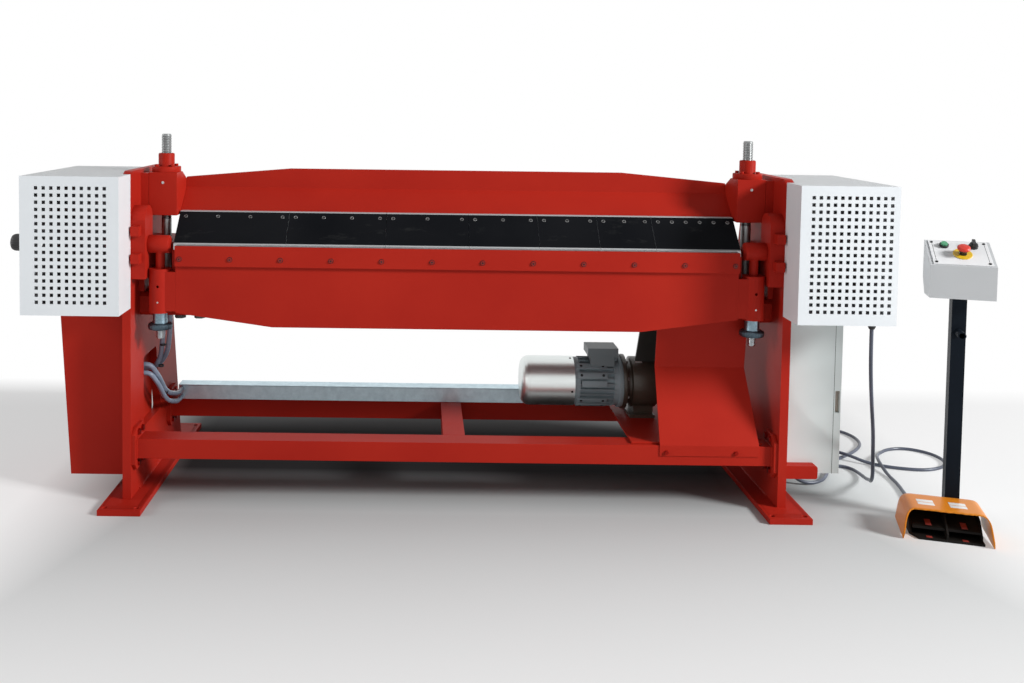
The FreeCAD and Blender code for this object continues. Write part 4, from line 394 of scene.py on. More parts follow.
# The blades are ground bright along both edges, up to these heights, and at their ends.
BLADE_EDGE, BLADE_TOP = 0.9295, 1.0312
GROUND_EDGE = (0.45, 0.46, 0.47, 1)
blade_black = painted("blade_black", srgb(24, 25, 28), srgb(10, 12, 16), 0.34, grain=260,
                      relief=0.00008, scuffs=0.25, gloss=0.03)
rubbed = blade_black.noise(scale=5, detail=6, roughness=0.75, stretch=(1, 3, 3))
blade_black.over(blade_black.ranged(rubbed, low=0.58, high=0.8, out_high=0.5), srgb(66, 67, 66))
blade_black.over(blade_black.below(blade_black.along("Z"), BLADE_EDGE), GROUND_EDGE)
blade_black.over(blade_black.above(blade_black.along("Z"), BLADE_TOP), GROUND_EDGE)
blade_black.over(blade_black.above(
    blade_black.maths("ABSOLUTE", blade_black.along("X", "Normal")), 0.8, soft=0.1), GROUND_EDGE)

# The bolts of the lowest and the highest flanges are painted over.
PAINTED_BELOW, PAINTED_ABOVE = 0.3, 0.75
bolt_finish = metal("bolt_finish", (0.11, 0.11, 0.11, 1), (0.06, 0.065, 0.065, 1), 0.36)
bolt_finish.over(bolt_finish.below(bolt_finish.along("Z"), PAINTED_BELOW), srgb(150, 32, 26))
bolt_finish.over(bolt_finish.above(bolt_finish.along("Z"), PAINTED_ABOVE), srgb(160, 40, 30))

# The door's finger cup is a shaded recess; its darker beige is painted shade.
cup_painted_shade = painted("cup_painted_shade", srgb(178, 166, 154), srgb(158, 147, 137), 0.5)
head_red = painted("head_red", srgb(150, 34, 27), srgb(126, 27, 22), 0.4)

FINISHES = {
    red_paint: [
        "left_side_frame", "right_side_frame", "foot_plates", "front_stretcher", "rear_stretcher",
        "cross_member", "lower_beam", "left_drive_box", "chain_guard", "hinge_plates",
        "spindle_gearboxes", "upper_beam", "end_blocks", "folding_beam", "front_strip",
        "adjuster_sleeves", "fold_arms", "clamp_nuts", "guide_strips",
    ],
    white_coat: ["left_cover", "right_cover"],
    front_coat: ["left_cover_front", "right_cover_front"],
    cabinet_grey: ["electric_cabinet", "cabinet_door"],
    box_grey: ["control_box"],
    panel_white: ["control_panel"],
    ground_steel: ["bed_blade", "folding_blade", "door_lock"],
    turned_steel: ["clamp_shaft", "fold_shaft"],
    blade_black: ["blade_segments"],
    gear_steel: ["fold_gear"],
    bolt_finish: ["frame_bolts"],
    case_grey: ["chain_case"],
    head_red: ["strip_screws"],
    galvanised: ["cable_trunking"],
    fan_metal: ["fan_cover"],
    motor_paint: ["motor"],
    terminal_paint: ["terminal_box"],
    cast_dark: ["gearbox"],
    black_plastic: ["mode_selector", "cable_glands"],
    pedal_black: ["left_treadle", "right_treadle", "pedal_base"],
    tube_grey: ["conduits"],
    post_paint: ["pedestal_post"],
    stop_red: ["emergency_stop"],
    green_cap: ["start_button"],
}


def finish(piece, surface):
    """Gives a piece one surface in place of what it had."""
    piece.data.materials.clear()
    piece.data.materials.append(surface.material)


for surface, names in FINISHES.items():
    for node_name in names:
        finish(NODES[node_name], surface)
for lead in (cover_lead, pedal_lead):
    finish(lead, sheath)


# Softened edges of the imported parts

# Points closer than SAME_PLACE are joined first. The widths are in millimetres.
SAME_PLACE = 0.00001
EDGE_ANGLE = math.radians(40)
EDGE_WIDTHS = {
    1.5: ["left_side_frame", "right_side_frame", "foot_plates", "front_stretcher", "rear_stretcher",
          "cross_member", "lower_beam", "left_drive_box", "hinge_plates", "spindle_gearboxes",
          "upper_beam", "end_blocks", "folding_beam", "left_cover", "right_cover",
          "electric_cabinet", "gearbox", "cable_trunking", "terminal_box"],
    0.8: ["front_strip", "chain_guard", "cabinet_door", "control_box", "pedal_base",
          "pedestal_post", "frame_bolts", "folding_blade", "bed_blade", "motor",
          "left_treadle", "right_treadle", "control_panel", "clamp_nuts", "chain_case"],
}


def soften(node_name, width):
    """Small rounded edges that catch the light."""
    node = NODES[node_name]
    weld = node.modifiers.new("weld", "WELD")
    weld.merge_threshold = SAME_PLACE
    bevel = node.modifiers.new("edges", "BEVEL")
    bevel.width = width * MILLIMETRE
    bevel.segments = 2
    bevel.limit_method = "ANGLE"
    bevel.angle_limit = EDGE_ANGLE
    bevel.harden_normals = True
    bevel.use_clamp_overlap = True


for width, names in EDGE_WIDTHS.items():
    for node_name in names:
        soften(node_name, width)


# Shapes made here

def spot(place, direction=(0, 0, 1)):
    """A frame at a place, its Z axis along direction."""
    turn = Vector(direction).to_track_quat("Z", "Y").to_matrix().to_4x4()
    return Matrix.Translation(place) @ turn


# Edges that turn by more than this are rounded.
SHARP = math.radians(30)


class Shape:
    """A mesh put together from turned, cut and rolled parts, all in millimetres."""

    def __init__(self):
        self.whole = bmesh.new()

    def join(self, part, place, soft=0.0):
        """Adds a part at a place, its sharp edges rounded by soft."""
        bmesh.ops.recalc_face_normals(part, faces=part.faces)
        if soft:
            sharp = [edge for edge in part.edges
                     if len(edge.link_faces) == 2 and edge.calc_face_angle() > SHARP]
            bmesh.ops.bevel(part, geom=sharp, offset=soft, segments=2, profile=0.6,
                            affect="EDGES", clamp_overlap=True)
        part.transform(place)
        loose = bpy.data.meshes.new("loose")
        part.to_mesh(loose)
        part.free()
        self.whole.from_mesh(loose)
        bpy.data.meshes.remove(loose)
        return self

    def turned(self, place, outline, sides=32, ripple=None):
        """A round part from (radius, height) pairs. Ripple changes the radius by place."""
        part = bmesh.new()
        rings = []
        for radius, height in outline:
            if radius == 0:
                rings.append([part.verts.new((0, 0, height))])
                continue
            ring = []
            for step in range(sides):
                angle = 2 * math.pi * step / sides
                reach = radius * (ripple(angle, height) if ripple else 1)
                ring.append(part.verts.new((reach * math.cos(angle), reach * math.sin(angle),
                                            height)))
            rings.append(ring)
        for lower, upper in zip(rings, rings[1:]):
            for step in range(sides):
                following = (step + 1) % sides
                corners = [lower[step % len(lower)], lower[following % len(lower)],
                           upper[following % len(upper)], upper[step % len(upper)]]
                corners = list(dict.fromkeys(corners))
                if len(corners) > 2:
                    part.faces.new(corners)
        return self.join(part, place)

    def prism(self, place, outline, height, soft=0.0):
        """A plate of the outline's shape, from the place up along its Z axis."""
        part = bmesh.new()
        low = [part.verts.new((x, y, 0)) for x, y in outline]
        high = [part.verts.new((x, y, height)) for x, y in outline]
        part.faces.new(low)
        part.faces.new(high)
        for step in range(len(outline)):
            following = (step + 1) % len(outline)
            part.faces.new([low[step], low[following], high[following], high[step]])
        return self.join(part, place, soft)

    def block(self, low, high, soft=0.0):
        """A box between two opposite corners."""
        size = [b - a for a, b in zip(low, high)]
        outline = [(0, 0), (size[0], 0), (size[0], size[1]), (0, size[1])]
        return self.prism(Matrix.Translation(low), outline, size[2], soft)

    def tube(self, points, radius, sides, swell):
        """A rod through the points, with a radius that swell changes from point to point."""
        part = bmesh.new()
        points = [Vector(point) for point in points]
        rings = []
        for number, point in enumerate(points):
            ahead = points[min(number + 1, len(points) - 1)]
            behind = points[max(number - 1, 0)]
            turn = (ahead - behind).to_track_quat("Z", "Y").to_matrix()
            reach = radius * swell(number)
            rings.append([part.verts.new(point + turn @ Vector((
                reach * math.cos(2 * math.pi * step / sides),
                reach * math.sin(2 * math.pi * step / sides), 0))) for step in range(sides)])
        for lower, upper in zip(rings, rings[1:]):
            for step in range(sides):
                following = (step + 1) % sides
                part.faces.new([lower[step], lower[following], upper[following], upper[step]])
        part.faces.new(rings[0])
        part.faces.new(rings[-1])
        return self.join(part, Matrix.Identity(4))

    def screw(self, place, radius, height, socket=0.5, sides=24):
        """A socket-head screw seen from its end: rounded rim and a round recess."""
        inner = radius * socket
        self.turned(place, [(radius, 0), (radius, height * 0.75), (radius * 0.9, height),
                            (inner * 1.12, height), (inner, height * 0.9), (inner, height * 0.2),
                            (0, height * 0.2)], sides)

    def piece(self, name, body, slot, surface, replaced=(), angle=35):
        """The finished object, riding on a body, sharp where faces meet above the angle."""
        self.whole.transform(Matrix.Scale(MILLIMETRE, 4))
        mesh = bpy.data.meshes.new(name)
        self.whole.to_mesh(mesh)
        self.whole.free()
        mesh.shade_smooth()
        mesh.set_sharp_from_angle(angle=math.radians(angle))
        made = bpy.data.objects.new(name, mesh)
        bpy.context.scene.collection.objects.link(made)
        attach(made, body)
        if replaced:
            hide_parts(*replaced)
        finish(made, surface)
        return made


def ring_outline(inner, outer, low, high, soft=0.6):
    """A flat ring's section, from its bore's foot round to the bore's top."""
    return [(inner, low), (outer - soft, low), (outer, low + soft), (outer, high - soft),
            (outer - soft, high), (inner + soft, high), (inner, high - soft)]


def oblong(half_length, half_width):
    """The outline of a rectangle round its middle."""
    return [(-half_length, -half_width), (half_length, -half_width),
            (half_length, half_width), (-half_length, half_width)]


FORWARD = (0, -1, 0)


# Clamping spindles

SPINDLE_X = 1066
SPINDLE_Y = -200
SPINDLE_SHANK = ((0, 708), (17, 708), (18, 709), (18, 1003), (15.6, 1006))
SPINDLE_THREAD = (1006, 1312)
THREAD_STEPS = 6
ROOT_SHARE, FLANK_SHARE = 0.22, 0.4
TIP_TAPER, TIP_RISE = 2.2, 1.6


def thread_shape(share):
    """How far out a screw thread stands, over one turn: flat crest, flanks and root."""
    rise = 1 - abs(2 * share - 1)
    return min(1.0, max(0.0, (rise - ROOT_SHARE) / FLANK_SHARE))


def threaded(shape, place, low, high, pitch, crest, root, sides=24):
    """A thread as a rippled sleeve that tapers out at its upper end."""
    steps = round((high - low) / pitch * THREAD_STEPS)
    outline = [(1, low + (high - low) * step / steps) for step in range(steps + 1)]
    chamfer = pitch * 0.8
    tip = (root - TIP_TAPER, high + TIP_RISE)

    def reach(angle, height):
        share = (height / pitch - angle / (2 * math.pi)) % 1
        radius = root + (crest - root) * thread_shape(share)
        return min(radius, root + (high - height) / chamfer * (crest - root))
    shape.turned(place, outline, sides, ripple=reach)
    shape.turned(place, [tip, (0, high + TIP_RISE)], sides)
    shape.turned(place, [(root, high), tip], sides)


def make_spindles():
    """Two upright spindles, plain below and threaded above."""
    for side in SIDES:
        shape = Shape()
        place = spot((side * SPINDLE_X, SPINDLE_Y, 0))
        shape.turned(place, SPINDLE_SHANK)
        threaded(shape, place, *SPINDLE_THREAD, pitch=6, crest=18, root=15.6)
        shape.piece(f"{SIDE_NAMES[side]}_screw", f"{SIDE_NAMES[side]}_clamp_spindle",
                    "bright_steel", screw_steel, [f"{SIDE_NAMES[side]}_spindle"])


# Fold arms, hand nuts and small screws

BEND_Y, BEND_Z = -330, 925
ARM_X = 1056
ARM_HUB = ((0, 1020), (26, 1020), (30, 1021.5), (32, 1025), (32, 1093.5), (30.5, 1095.7),
           (25, 1095.7), (25, 1245), (24, 1246), (0, 1246))
ARM_ROD = ((0, 684), (16, 684), (16, 893), (18.5, 896), (20, 899), (20, 925), (0, 925))
ROD_END = ((0, 585), (9, 585), (11.5, 588), (11.5, 590))
ROD_THREAD = (590, 684)
NUT_RIBS, KNURL_DEPTH = 28, 0.022
NUT_HUB = ((14.6, 681.5), (24, 681.5), (26, 680), (26, 650), (27, 646), (27, 642))
NUT_RIM = ((26, 644), (36, 643.6), (40, 641), (43, 637), (43, 627), (40, 622), (34, 620),
           (14.6, 620), (14.6, 681))
STRIP_SCREWS, STRIP_PITCH = 12, 178
STRIP_Y, STRIP_SCREW_Y, STRIP_SCREW_Z = -373, -377, 878
BLOCK_SCREW_Y, BLOCK_SCREW_Z = -255, 1138
NIPPLE_Y, NIPPLE_Z = -368.6, 722


def make_fold_arms():
    """The hubs on the bend line and the rods with their threaded lower ends."""
    arms, threads = Shape(), Shape()
    for side in SIDES:
        across = spot((0, BEND_Y, BEND_Z), (side, 0, 0))
        arms.turned(across, ARM_HUB, 48)
        rod_place = spot((side * ARM_X, BEND_Y, 0))
        arms.turned(rod_place, ARM_ROD)
        threads.turned(rod_place, ROD_END)
        threaded(threads, rod_place, *ROD_THREAD, pitch=5, crest=14, root=12, sides=20)
    arms.piece("fold_arm_pair", "fold_carrier", "red_paint", red_paint, ["fold_arms"])
    threads.piece("fold_arm_threads", "fold_carrier", "bright_steel", turned_steel)


def make_hand_nuts():
    """Turned hub over a knurled rim."""
    def knurl(angle, height):
        return 1 - KNURL_DEPTH * abs(math.sin(NUT_RIBS * angle / 2)) ** 0.5
    for side in SIDES:
        place = spot((side * ARM_X, BEND_Y, 0))
        name, body = SIDE_NAMES[side], f"{SIDE_NAMES[side]}_adjuster_nut"
        hub = Shape()
        hub.turned(place, NUT_HUB)
        hub.piece(f"{name}_nut_hub", body, "dark_steel", nut_steel, [f"{name}_hand_nut"])
        rim = Shape()
        rim.turned(place, NUT_RIM, 4 * NUT_RIBS, ripple=knurl)
        rim.piece(f"{name}_nut_rim", body, "dark_steel", nut_dark, [f"{name}_hand_nut"])


def make_small_screws():
    """Bright and dark little screws, their sockets, and a painted shadow ring round each strip
    screw.
    """
    sockets = Shape()
    for number in range(STRIP_SCREWS):
        x = (number - (STRIP_SCREWS - 1) / 2) * STRIP_PITCH
        sockets.turned(spot((x, STRIP_SCREW_Y, STRIP_SCREW_Z), FORWARD),
                       [(3.4, 0), (3.4, 0.4), (0, 0.4)], 6)
        # A thin dark ring round each strip screw is painted shadow of the gap round its head.
        sockets.turned(spot((x, STRIP_Y, STRIP_SCREW_Z), FORWARD),
                       ring_outline(7.8, 9.4, 0, 0.5, 0.2), 28)
    sockets.piece("strip_screw_sockets_and_shadow_rings", "fold_leaf", "dark_steel", ring_dark)
    points = Shape()
    for side in SIDES:
        seat = spot((side * SPINDLE_X, BLOCK_SCREW_Y, BLOCK_SCREW_Z), FORWARD)
        points.screw(seat, radius=5, height=1.6)
    points.piece("block_screws", "clamping_beam", "bright_steel", ground_steel)
    dots = Shape()
    for side in SIDES:
        seat = spot((side * ARM_X, NIPPLE_Y, NIPPLE_Z), FORWARD)
        dots.turned(seat, [(3.4, 0), (3, 1), (0, 1.4)], 16)
    dots.piece("sleeve_nipples", "fold_leaf", "bright_steel", ground_steel)


# Blades

BLADE_FRONT, BLADE_LOW = -330, 925.5
BLADE_BACK, BLADE_HIGH = -222, 1033.5
BLADE_ENDS = 1010
BLADE_WIDTHS = (400, 355, 298, 251, 216, 199, 301)
BLADE_SCREWS = (4, 4, 3, 3, 3, 3, 6)
BLADE_SCREW_INSET = 24
BLADE_SCREW_ROW = 128
BLADE_SOCKET = 4.2


def make_blade_screws():
    """Socket screws in a row near the top edge of each blade."""
    slope = Vector((0, BLADE_BACK - BLADE_FRONT, BLADE_HIGH - BLADE_LOW)).normalized()
    outward = Vector((0, -slope.z, slope.y))
    heads, holes = Shape(), Shape()
    start = -BLADE_ENDS
    for width, count in zip(BLADE_WIDTHS, BLADE_SCREWS):
        pitch = (width - 2 * BLADE_SCREW_INSET) / (count - 1)
        for number in range(count):
            x = start + BLADE_SCREW_INSET + pitch * number
            foot = Vector((x, BLADE_FRONT, BLADE_LOW))
            seat = spot(foot + slope * BLADE_SCREW_ROW, outward)
            heads.turned(seat, ring_outline(BLADE_SOCKET, 7, -0.5, 1.3, 0.5), 24)
            holes.turned(seat, [(BLADE_SOCKET, 0.2), (0, 0.2)], 6)
        start += width
    heads.piece("blade_screws", "clamping_beam", "bright_steel", worn_steel)
    holes.piece("blade_screw_sockets", "clamping_beam", "dark_steel", ring_dark)


# Angle knob

KNOB_X = -1521
KNOB_RIBS, RIB_DEPTH = 26, 0.035
KNOB_CAP = ((22, 0), (27, 0.6), (29.5, 3), (30.5, 8), (30.5, 44), (29, 52), (26, 57.5), (21, 60.5),
            (14, 61.6), (0, 62))
KNOB_SHAFT = ((0, -40), (12, -40), (12, -2), (21, -1), (22, 0))


def make_knob():
    """A ribbed knob on a short shaft at the left cover."""
    def ribbed(angle, height):
        return 1 - RIB_DEPTH * (0.5 + 0.5 * math.cos(KNOB_RIBS * angle))
    shape = Shape()
    place = spot((KNOB_X, BEND_Y, BEND_Z), (-1, 0, 0))
    shape.turned(place, KNOB_CAP, 6 * KNOB_RIBS, ripple=ribbed)
    shape.turned(place, KNOB_SHAFT)
    shape.piece("ribbed_knob", "angle_setting", "black_plastic", black_plastic, ["angle_knob"])


# Cabinet gasket and handle

CABINET_LOW = (1176, -290, 112)
CABINET_HIGH = (1375, 60, 700)
HANDLE_CUP = ((1379.4, -279, 335.4), (1395.6, -278.1, 414.6))


def make_cabinet_details():
    """A rubber gasket round the cabinet's mouth, and the door's finger cup, whose darker tone is
    painted shade.
    """
    ring = Shape()
    near, far = CABINET_HIGH[0] - 1.4, CABINET_HIGH[0] - 0.1
    out, deep = 0.5, 3
    (_, front, bottom), (_, back, top) = CABINET_LOW, CABINET_HIGH
    for low, high in (((front - out, bottom - out), (front + deep, top + out)),
                      ((back - deep, bottom - out), (back + out, top + out)),
                      ((front + deep, bottom - out), (back - deep, bottom + deep)),
                      ((front + deep, top - deep), (back - deep, top + out))):
        ring.block((near, *low), (far, *high), soft=0.2)
    ring.piece("door_gasket", "frame", "black_plastic", ring_dark)
    cup = Shape()
    cup.block(*HANDLE_CUP, soft=0.3)
    cup.piece("handle_cup", "door", "white_sheet", cup_painted_shade)


# Control panel

PANEL_TILT = math.radians(29.25)
PANEL_ORIGIN = Vector((0, -2.5, 945))
PANEL_FACE, PANEL_SEAT = 3.0, 2.9
BUTTON_PLACES = ((-46, 36), (46, 36))
STOP_PLACE = (6, -8)
STOP_NECK = 25.5
BORDER_ACROSS, BORDER_HALF = 82, 49
PANEL_SCREW_UP = 56


def on_panel(across, up, out=0.0):
    """A place on the tilted panel, in millimetres in the model's frame."""
    slope = Vector((0, math.cos(PANEL_TILT), math.sin(PANEL_TILT)))
    normal = Vector((0, -math.sin(PANEL_TILT), math.cos(PANEL_TILT)))
    local = PANEL_ORIGIN + Vector((across, 0, 0)) + slope * up + normal * out
    turned = Matrix.Rotation(POST_TURN, 3, "Z") @ local
    return turned + POST / MILLIMETRE


PANEL_NORMAL = (on_panel(0, 0, 1) - on_panel(0, 0, 0)).normalized()
PANEL_RIGHT = (on_panel(1, 0, 0) - on_panel(0, 0, 0)).normalized()
PANEL_TURN = Matrix((PANEL_RIGHT, PANEL_NORMAL.cross(PANEL_RIGHT), PANEL_NORMAL)).transposed()


def panel_spot(across, up, out=PANEL_FACE):
    """A frame on the tilted panel, its Z axis outward."""
    return Matrix.Translation(on_panel(across, up, out)) @ PANEL_TURN.to_4x4()


def make_panel_details():
    """Rings round the buttons, the disc under the stop, the border lines and the screws."""
    rings = Shape()
    for across, up in BUTTON_PLACES:
        rings.turned(panel_spot(across, up), ring_outline(11.5, 15, 0, 8), 40)
    rings.piece("control_rings", "frame", "black_plastic", black_plastic, ["button_bezels"])
    disc = Shape()
    disc.turned(panel_spot(*STOP_PLACE), ring_outline(12, 30, 0, 3), 56)
    disc.piece("stop_disc", "frame", "panel_sheet", stop_yellow, ["button_bezels"])
    line = Shape()
    for across in (-BORDER_ACROSS, BORDER_ACROSS):
        line.prism(panel_spot(across, 0, PANEL_SEAT), oblong(0.6, BORDER_HALF), 0.25)
    line.piece("panel_border", "frame", "black_plastic", black_plastic)
    screws = Shape()
    for across in (-BORDER_ACROSS, BORDER_ACROSS):
        for up in (-PANEL_SCREW_UP, PANEL_SCREW_UP):
            screws.screw(panel_spot(across, up, PANEL_SEAT), radius=4.8, height=1.8, sides=20)
    screws.piece("panel_screws", "frame", "dark_steel", ring_dark)
    neck_top = on_panel(*STOP_PLACE, STOP_NECK) * MILLIMETRE
    stop_red.over(stop_red.below(stop_red.beyond(PANEL_NORMAL), neck_top.dot(PANEL_NORMAL)),
                  srgb(24, 24, 26))


# Pedal

PEDAL_FRAME = Matrix.Translation(POST / MILLIMETRE) @ Matrix.Rotation(POST_TURN, 4, "Z")
PEDAL_SHIFT = -40
HOOD_SECTION = ((-138, 0), (-127, 78), (-111, 98), (-60, 98.5), (0, 98), (60, 98.5), (111, 98),
                (127, 78), (138, 0))
HOOD_FACE = ((-191, 19.5), (-176, 78), (-164, 98))
HOOD_FOOT_SLOPE = 0.35
HOOD_CROWN = 90
HOOD_REAR = -26
HOOD_SHEET = 4
HOOD_TAIL = 12
HOOD_LIP = 1.2
HOOD_TOP = 100.2
PLATE_COLUMNS, PLATE_ROWS = (-58, 42), (-112, -86)
TREADLE_X = 55
TREADLE_FRONT, TREADLE_BACK = (-152, 36), (-56, 56)
PAD_ALONG, PAD_RISE = 76, 4.2
BASE_PAD_Y, BASE_PAD_Z = -166, 8


def pedal_spot(x, y, z, direction=(0, 0, 1)):
    """A frame at a place given from the foot of the control post."""
    return PEDAL_FRAME @ spot((x, y, z), direction)


def rounded(points, share=0.2, rounds=3):
    """The corners of a line cut again and again, so that they turn softly."""
    for _ in range(rounds):
        cut = [points[0]]
        for (ax, ay), (bx, by) in zip(points, points[1:]):
            cut.append((ax + (bx - ax) * share, ay + (by - ay) * share))
            cut.append((bx + (ax - bx) * share, by + (ay - by) * share))
        points = cut + [points[-1]]
    return points


def face_reach(height):
    """How far forward the hood's open front stands at a height."""
    (low_y, low_z), (mid_y, mid_z), (high_y, high_z) = HOOD_FACE
    if height > mid_z:
        return mid_y + (high_y - mid_y) * (height - mid_z) / (high_z - mid_z)
    if height > low_z:
        return low_y + (mid_y - low_y) * (height - low_z) / (mid_z - low_z)
    return low_y + (low_z - height) * HOOD_FOOT_SLOPE


def hood_skin(section, back):
    """Rows of points from the rear wall to the uneven front lip."""
    rows = []
    steps = 10
    for step in range(steps + 1):
        row = []
        lowest = 1 + HOOD_TAIL * (1 - step / steps)
        for number, (x, z) in enumerate(section):
            front = face_reach(z)
            if z > HOOD_CROWN:
                front += 1.1 * math.sin(number * 1.9) + 0.8 * math.sin(number * 0.7)
            row.append(Vector((x, back + (front - back) * step / steps, max(z, lowest))))
        rows.append(row)
    return rows


def make_hood():
    """A thin moulded hood with soft shoulders, open in front and behind."""
    section = rounded(HOOD_SECTION)
    part = bmesh.new()
    rows = [[part.verts.new(point) for point in row] for row in hood_skin(section, HOOD_REAR)]
    for near, far in zip(rows, rows[1:]):
        for step in range(len(near) - 1):
            part.faces.new([near[step], near[step + 1], far[step + 1], far[step]])
    shape = Shape().join(part, PEDAL_FRAME @ Matrix.Translation((PEDAL_SHIFT, 0, 0)))
    hood = shape.piece("moulded_hood", "frame", "orange_paint", orange_paint, ["pedal_hood"], 50)
    skin = hood.modifiers.new("sheet", "SOLIDIFY")
    skin.thickness = HOOD_SHEET * MILLIMETRE
    skin.offset = 0
    lip = hood.modifiers.new("lip", "BEVEL")
    lip.width = HOOD_LIP * MILLIMETRE
    lip.segments = 2
    lip.limit_method = "ANGLE"
    lip.angle_limit = math.radians(50)


def make_pedal_details():
    """Bare plates on the hood and gripping pads on the treadles and the base."""
    plates = Shape()
    for x in PLATE_COLUMNS:
        for y in PLATE_ROWS:
            seat = pedal_spot(PEDAL_SHIFT + x, y, HOOD_TOP)
            plates.prism(seat, oblong(26, 11), 0.7, soft=0.3)
    plates.piece("hood_plates", "frame", "panel_sheet", label_white)
    slope = (Vector((0, *TREADLE_FRONT)) - Vector((0, *TREADLE_BACK))).normalized()
    normal = Vector((0, slope.z, -slope.y))
    for name, x in (("left", -TREADLE_X), ("right", TREADLE_X)):
        pad = Shape()
        middle = Vector((PEDAL_SHIFT + x, *TREADLE_BACK)) + slope * PAD_ALONG + normal * PAD_RISE
        pad.prism(pedal_spot(*middle, normal), oblong(9, 17), 1.6, soft=0.5)
        pad.piece(f"{name}_treadle_pad", f"{name}_foot_switch", "black_plastic", pad_red)
    base = Shape()
    for x in (-TREADLE_X, TREADLE_X):
        seat = pedal_spot(PEDAL_SHIFT + x, BASE_PAD_Y, BASE_PAD_Z)
        base.prism(seat, oblong(9, 7), 1.4, soft=0.5)
    base.piece("base_pads", "frame", "black_plastic", pad_red)


# Motor and gearbox

MOTOR_Y, MOTOR_Z = 20, 358
BARREL_RADIUS, PAD_RADIUS = 89, 97.6
PAD_X, PAD_HOLE_X = 538, 42
PAD_ANGLES, PAD_SPLIT = (38, -48, 142), 11.5
LONG_PAD_X, LONG_PAD_ANGLE = 545, 7
LUG_X, LUG_ANGLE, LUG_FOOT, LUG_TOP = 628, 78, 88, 108
FAN_HOLE_X, FAN_HOLE_RADIUS, FAN_HOLE_ANGLES = 459, 94.8, (-12, 78, 168)
FLANGE_BOLTS, FLANGE_BOLT_X, FLANGE_BOLT_RADIUS, FLANGE_TURN = 8, 676, 93, 20
PLATE_X, PLATE_ANGLE, PLATE_RADIUS = 722, 66, 96.6


def on_barrel(x, angle, radius):
    """A frame on a barrel round the motor's axis, angle from the front upwards, Z outward."""
    turn = math.radians(angle)
    outward = Vector((0, -math.cos(turn), math.sin(turn)))
    along = Vector((1, 0, 0))
    basis = Matrix((along, outward.cross(along), outward)).transposed()
    place = Vector((x, MOTOR_Y, MOTOR_Z)) + outward * radius
    return Matrix.Translation(place) @ basis.to_4x4()


def make_motor_details():
    """Foot pads, a lug and bolts on the motor, and a bare plate on the gearbox."""
    pads, holes = Shape(), Shape()
    for middle in PAD_ANGLES:
        for angle in (middle - PAD_SPLIT, middle + PAD_SPLIT):
            pads.prism(on_barrel(PAD_X, angle, BARREL_RADIUS), oblong(58, 11), 8.5, soft=1.2)
            for x in (PAD_X - PAD_HOLE_X, PAD_X + PAD_HOLE_X):
                holes.turned(on_barrel(x, angle, PAD_RADIUS), [(5.4, 0), (5, 0.2), (0, 0.2)], 20)
    seat = on_barrel(LONG_PAD_X, LONG_PAD_ANGLE, BARREL_RADIUS)
    pads.prism(seat, oblong(48, 12), 7.5, soft=1.2)
    seat = on_barrel(LUG_X, LUG_ANGLE, LUG_FOOT)
    pads.prism(seat, oblong(14, 12), LUG_TOP - LUG_FOOT, soft=1.5)
    pads.piece("motor_pads", "frame", "motor_shell", motor_paint)
    for angle in FAN_HOLE_ANGLES:
        seat = on_barrel(FAN_HOLE_X, angle, FAN_HOLE_RADIUS)
        holes.turned(seat, [(4.5, 0), (4.2, 1.2), (2.4, 1.6), (0, 1.6)], 20)
    holes.piece("motor_holes", "frame", "dark_steel", ring_dark)
    bolts = Shape()
    bolts.turned(on_barrel(LUG_X, LUG_ANGLE, LUG_TOP), [(8, 0), (8, 5), (7, 6), (0, 6)], 6)
    backward = Matrix.Rotation(math.radians(90), 4, "Y")
    for number in range(FLANGE_BOLTS):
        angle = number * 360 / FLANGE_BOLTS + FLANGE_TURN
        seat = on_barrel(FLANGE_BOLT_X, angle, FLANGE_BOLT_RADIUS) @ backward
        bolts.turned(seat, [(7, -4), (7, 3), (6, 4), (0, 4)], 6)
    bolts.piece("motor_bolts", "frame", "dark_steel", gear_steel)
    plate = Shape()
    seat = on_barrel(PLATE_X, PLATE_ANGLE, PLATE_RADIUS)
    plate.prism(seat, oblong(13, 9), 1.2, soft=0.4)
    plate.piece("gearbox_plate", "frame", "panel_sheet", label_white)


# Weld beads

FOOT_WELD_X, FOOT_WELD_Y, FOOT_WELD_Z = (1146, 1176), (-280, 270), 21
FLANGE_X, FLANGE_HALF = 1131, 45
STRETCHERS_Y, STRETCHER_Z = (-317, 181), (160, 230)
FLANGE_BEAD = 3


def make_welds():
    """Uneven fillets where the side frames meet the feet and the stretchers their flanges."""
    shape = Shape()

    def lay(start, end, radius=4.0, seed=0.0):
        start, end = Vector(start), Vector(end)
        count = max(3, round((end - start).length / 4))

        def swell(number):
            return 1 + 0.14 * math.sin(number * 2.1 + seed) + 0.1 * math.sin(number * 0.73 + seed)
        points = [start.lerp(end, step / count) for step in range(count + 1)]
        shape.tube(points, radius, 8, swell)
    foot_front, foot_back = FOOT_WELD_Y
    low, high = STRETCHER_Z
    for side in SIDES:
        for x in FOOT_WELD_X:
            lay((side * x, foot_front, FOOT_WELD_Z), (side * x, foot_back, FOOT_WELD_Z),
                seed=side + x)
        x = side * FLANGE_X
        for middle in STRETCHERS_Y:
            front, back = middle - FLANGE_HALF, middle + FLANGE_HALF
            for z in STRETCHER_Z:
                lay((x, front, z), (x, back, z), FLANGE_BEAD, z)
            for y in (front, back):
                lay((x, y, low), (x, y, high), FLANGE_BEAD, y)
    shape.piece("weld_beads", "frame", "red_paint", red_paint)


# Cable ties

TIES = (((-1100, -148, 440), (0.1, -0.1, 1)), ((-1092, -150, 520), (0, 0, 1)),
        ((-1103, -70, 320), (0, 1, -0.8)))


def make_ties():
    """Black bands round the grey tubes."""
    shape = Shape()
    for place, direction in TIES:
        shape.turned(spot(place, direction), ring_outline(9.2, 10.6, -3, 3, 0.3), 28)
    shape.piece("tube_ties", "frame", "black_plastic", black_plastic)


